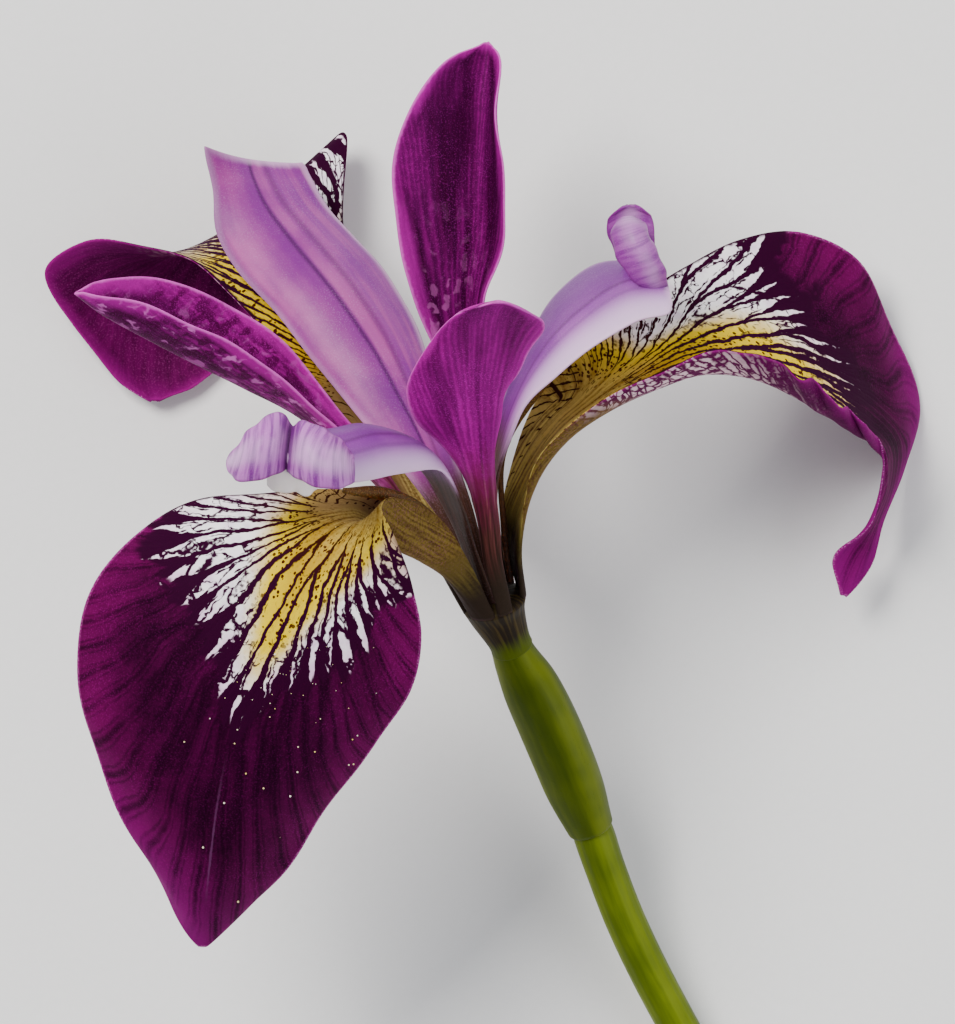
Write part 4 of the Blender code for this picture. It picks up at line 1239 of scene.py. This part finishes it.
def tube_finish():
    """Brown and purple over olive, with fine lines along the tube."""
    finish = Finish("tube_olive", {**WAXY_SKIN, "Specular IOR Level": 0.06})
    turn, along, length = finish.fields("turn along length")
    lines = finish.streaked(turn * 40, along * 0.15, detail=3)
    skin = finish.mix((34, 26, 20), (66, 54, 28), lines.ramp(0.42, 0.66))
    skin = finish.mix(skin, (74, 86, 10), (length + (lines - 0.5) * 0.3).ramp(0.62, 0.9))
    finish.relief(lines, 0.05)
    finish.show(skin, finish.noise(1) * 0.2 + 0.38)
    return finish


def stamen_finish():
    """A dusky filament, and a brown anther rough with pollen grains."""
    finish = Finish("stamen_brown", {"Specular IOR Level": 0.2, "Subsurface Weight": 0.1})
    length = finish.field("length")
    grains = finish.spots(0.22 * MM, finish.place).fade(0.1, 0.5)
    filament = finish.mix((44, 26, 18), (84, 54, 36), length.ramp(0, 0.5))
    anther = finish.mix((80, 58, 26), (128, 102, 50), grains)
    finish.relief(grains, 0.05)
    finish.show(finish.mix(filament, anther, length.ramp(0.5, 0.56)), grains * 0.2 + 0.5)
    return finish


tube_olive = tube_finish()
ovary_green = stalk_finish("ovary_green", (54, 68, 0), (92, 104, 0), (122, 132, 24), 0.4, 0.5)
stem_green = stalk_finish("stem_green", (72, 88, 0), (106, 122, 2), (120, 132, 30), 0.42, 0.4)
stamen_brown = stamen_finish()

# %% Tube, ovary and stem
TUBE_LINE = [
    (*RIM_CENTRE, 3.3),
    (*(RIM_CENTRE - FLOWER_AXIS * 2.1), 2.65),
    (0.25, -3.8, -1.6, 2),
    (0.7, -4.9, -2.3, 2.04),
]
OVARY_LINE = [
    (-0.1, -3, -1.1, 1.6),
    (1, -5.6, -2.7, 2.2),
    (2.4, -8.2, -4.2, 2.8),
    (3.95, -11.4, -6, 3),
    (5.4, -14.8, -7.8, 3),
    (6.6, -17.9, -9.4, 2.85),
    (7.7, -20.8, -10.8, 2.35),
    (8.2, -22, -11.4, 2.1),
]
STEM_LINE = [
    (7.9, -21.2, -11, 1.8),
    (8.3, -22.35, -11.6, 1.95),
    (9.4, -25.6, -13.1, 1.9),
    (11.25, -30.4, -14.9, 1.9),
    (13.7, -35.6, -16.8, 1.9),
    (16.9, -41.6, -18.9, 1.88),
    (20.6, -48.4, -20.8, 1.8),
]
SIDES = 96


def three_corners(turn, share):
    """The ovary keeps three soft corners: 0.05 (cos(3 turn) - 1) sqrt(sin(pi share))."""
    return 0.05 * (np.cos(3 * turn) - 1) * np.sin(np.pi * share) ** 0.5


def fine_ribs(turn, share):
    """Faint ribs along the stem: 0.008 (cos(14 turn) - 1)."""
    return 0.008 * (np.cos(14 * turn) - 1) + 0 * share


make_piece("fine_tube", rod_body(TUBE_LINE, 50, SIDES, 0.25), tube_olive, "perianth_tube")
ovary_body = rod_body(OVARY_LINE, 120, SIDES, 0.3, three_corners)
make_piece("fine_ovary", ovary_body, ovary_green, "ovary")
stem_body = rod_body(STEM_LINE, 160, SIDES, 0.12, fine_ribs)
make_piece("fine_stem", stem_body, stem_green, "stem")

# %% Stamens
STAMEN_RADII = (0.3, 0.3, 0.3, 0.75, 0.3)


def anther_cleft(turn, share):
    """Two pollen sacs, pinched between them: -0.16 cos(turn)^8 in the line's further half."""
    return -0.16 * np.cos(turn) ** 8 * (share > 0.5)


for name, angle, points in (
    ("front", 238, [(-4.4, 4.2, 6.2), (-7.4, 8.2, 11.6), (-11.2, 9.6, 17.8), (-14.8, 9.9, 22.0)]),
    ("right", 0, [(-0.2, 6.5, 2.4), (-0.1, 13.9, 3.4), (4.4, 21.2, 4.8), (8.8, 24.8, 5.8)]),
    ("back", 122, [(-4.8, 6.4, -0.4), (-8.2, 13.4, -1.8), (-12.0, 20.4, -3.8), (-15.8, 26.2, -6.4)]),
):
    points = [on_rim(angle, 2.0, 0.45), *points]
    line = [(*point, radius) for point, radius in zip(points, STAMEN_RADII)]
    body = rod_body(line, 90, 24, 0.8, anther_cleft)
    make_piece(f"fine_stamen_{name}", body, stamen_brown, f"stamen_{name}")


# %% [markdown]
# ## The floor
# A plain pale sheet of paper, just below the points where the flower touches down.

# %% Floor
floor_mesh = bpy.data.meshes.new("floor")
HALF_FLOOR, FLOOR_HEIGHT = 1.5, -0.0001
corners = [(HALF_FLOOR * x, HALF_FLOOR * y, FLOOR_HEIGHT) for x, y in ((-1, -1), (1, -1), (1, 1), (-1, 1))]
floor_mesh.from_pydata(corners, [], [(0, 1, 2, 3)])
floor = bpy.data.objects.new("floor", floor_mesh)
bpy.context.scene.collection.objects.link(floor)
paper = Finish("pale_paper", {"Specular IOR Level": 0.2})
fibres = paper.noise(0.8, detail=3.0)
paper.relief(fibres, 0.01)
paper.show(paper.mix((248, 247, 245), (253, 252, 250), fibres), fibres * 0.1 + 0.75)
floor_mesh.materials.append(paper.material)
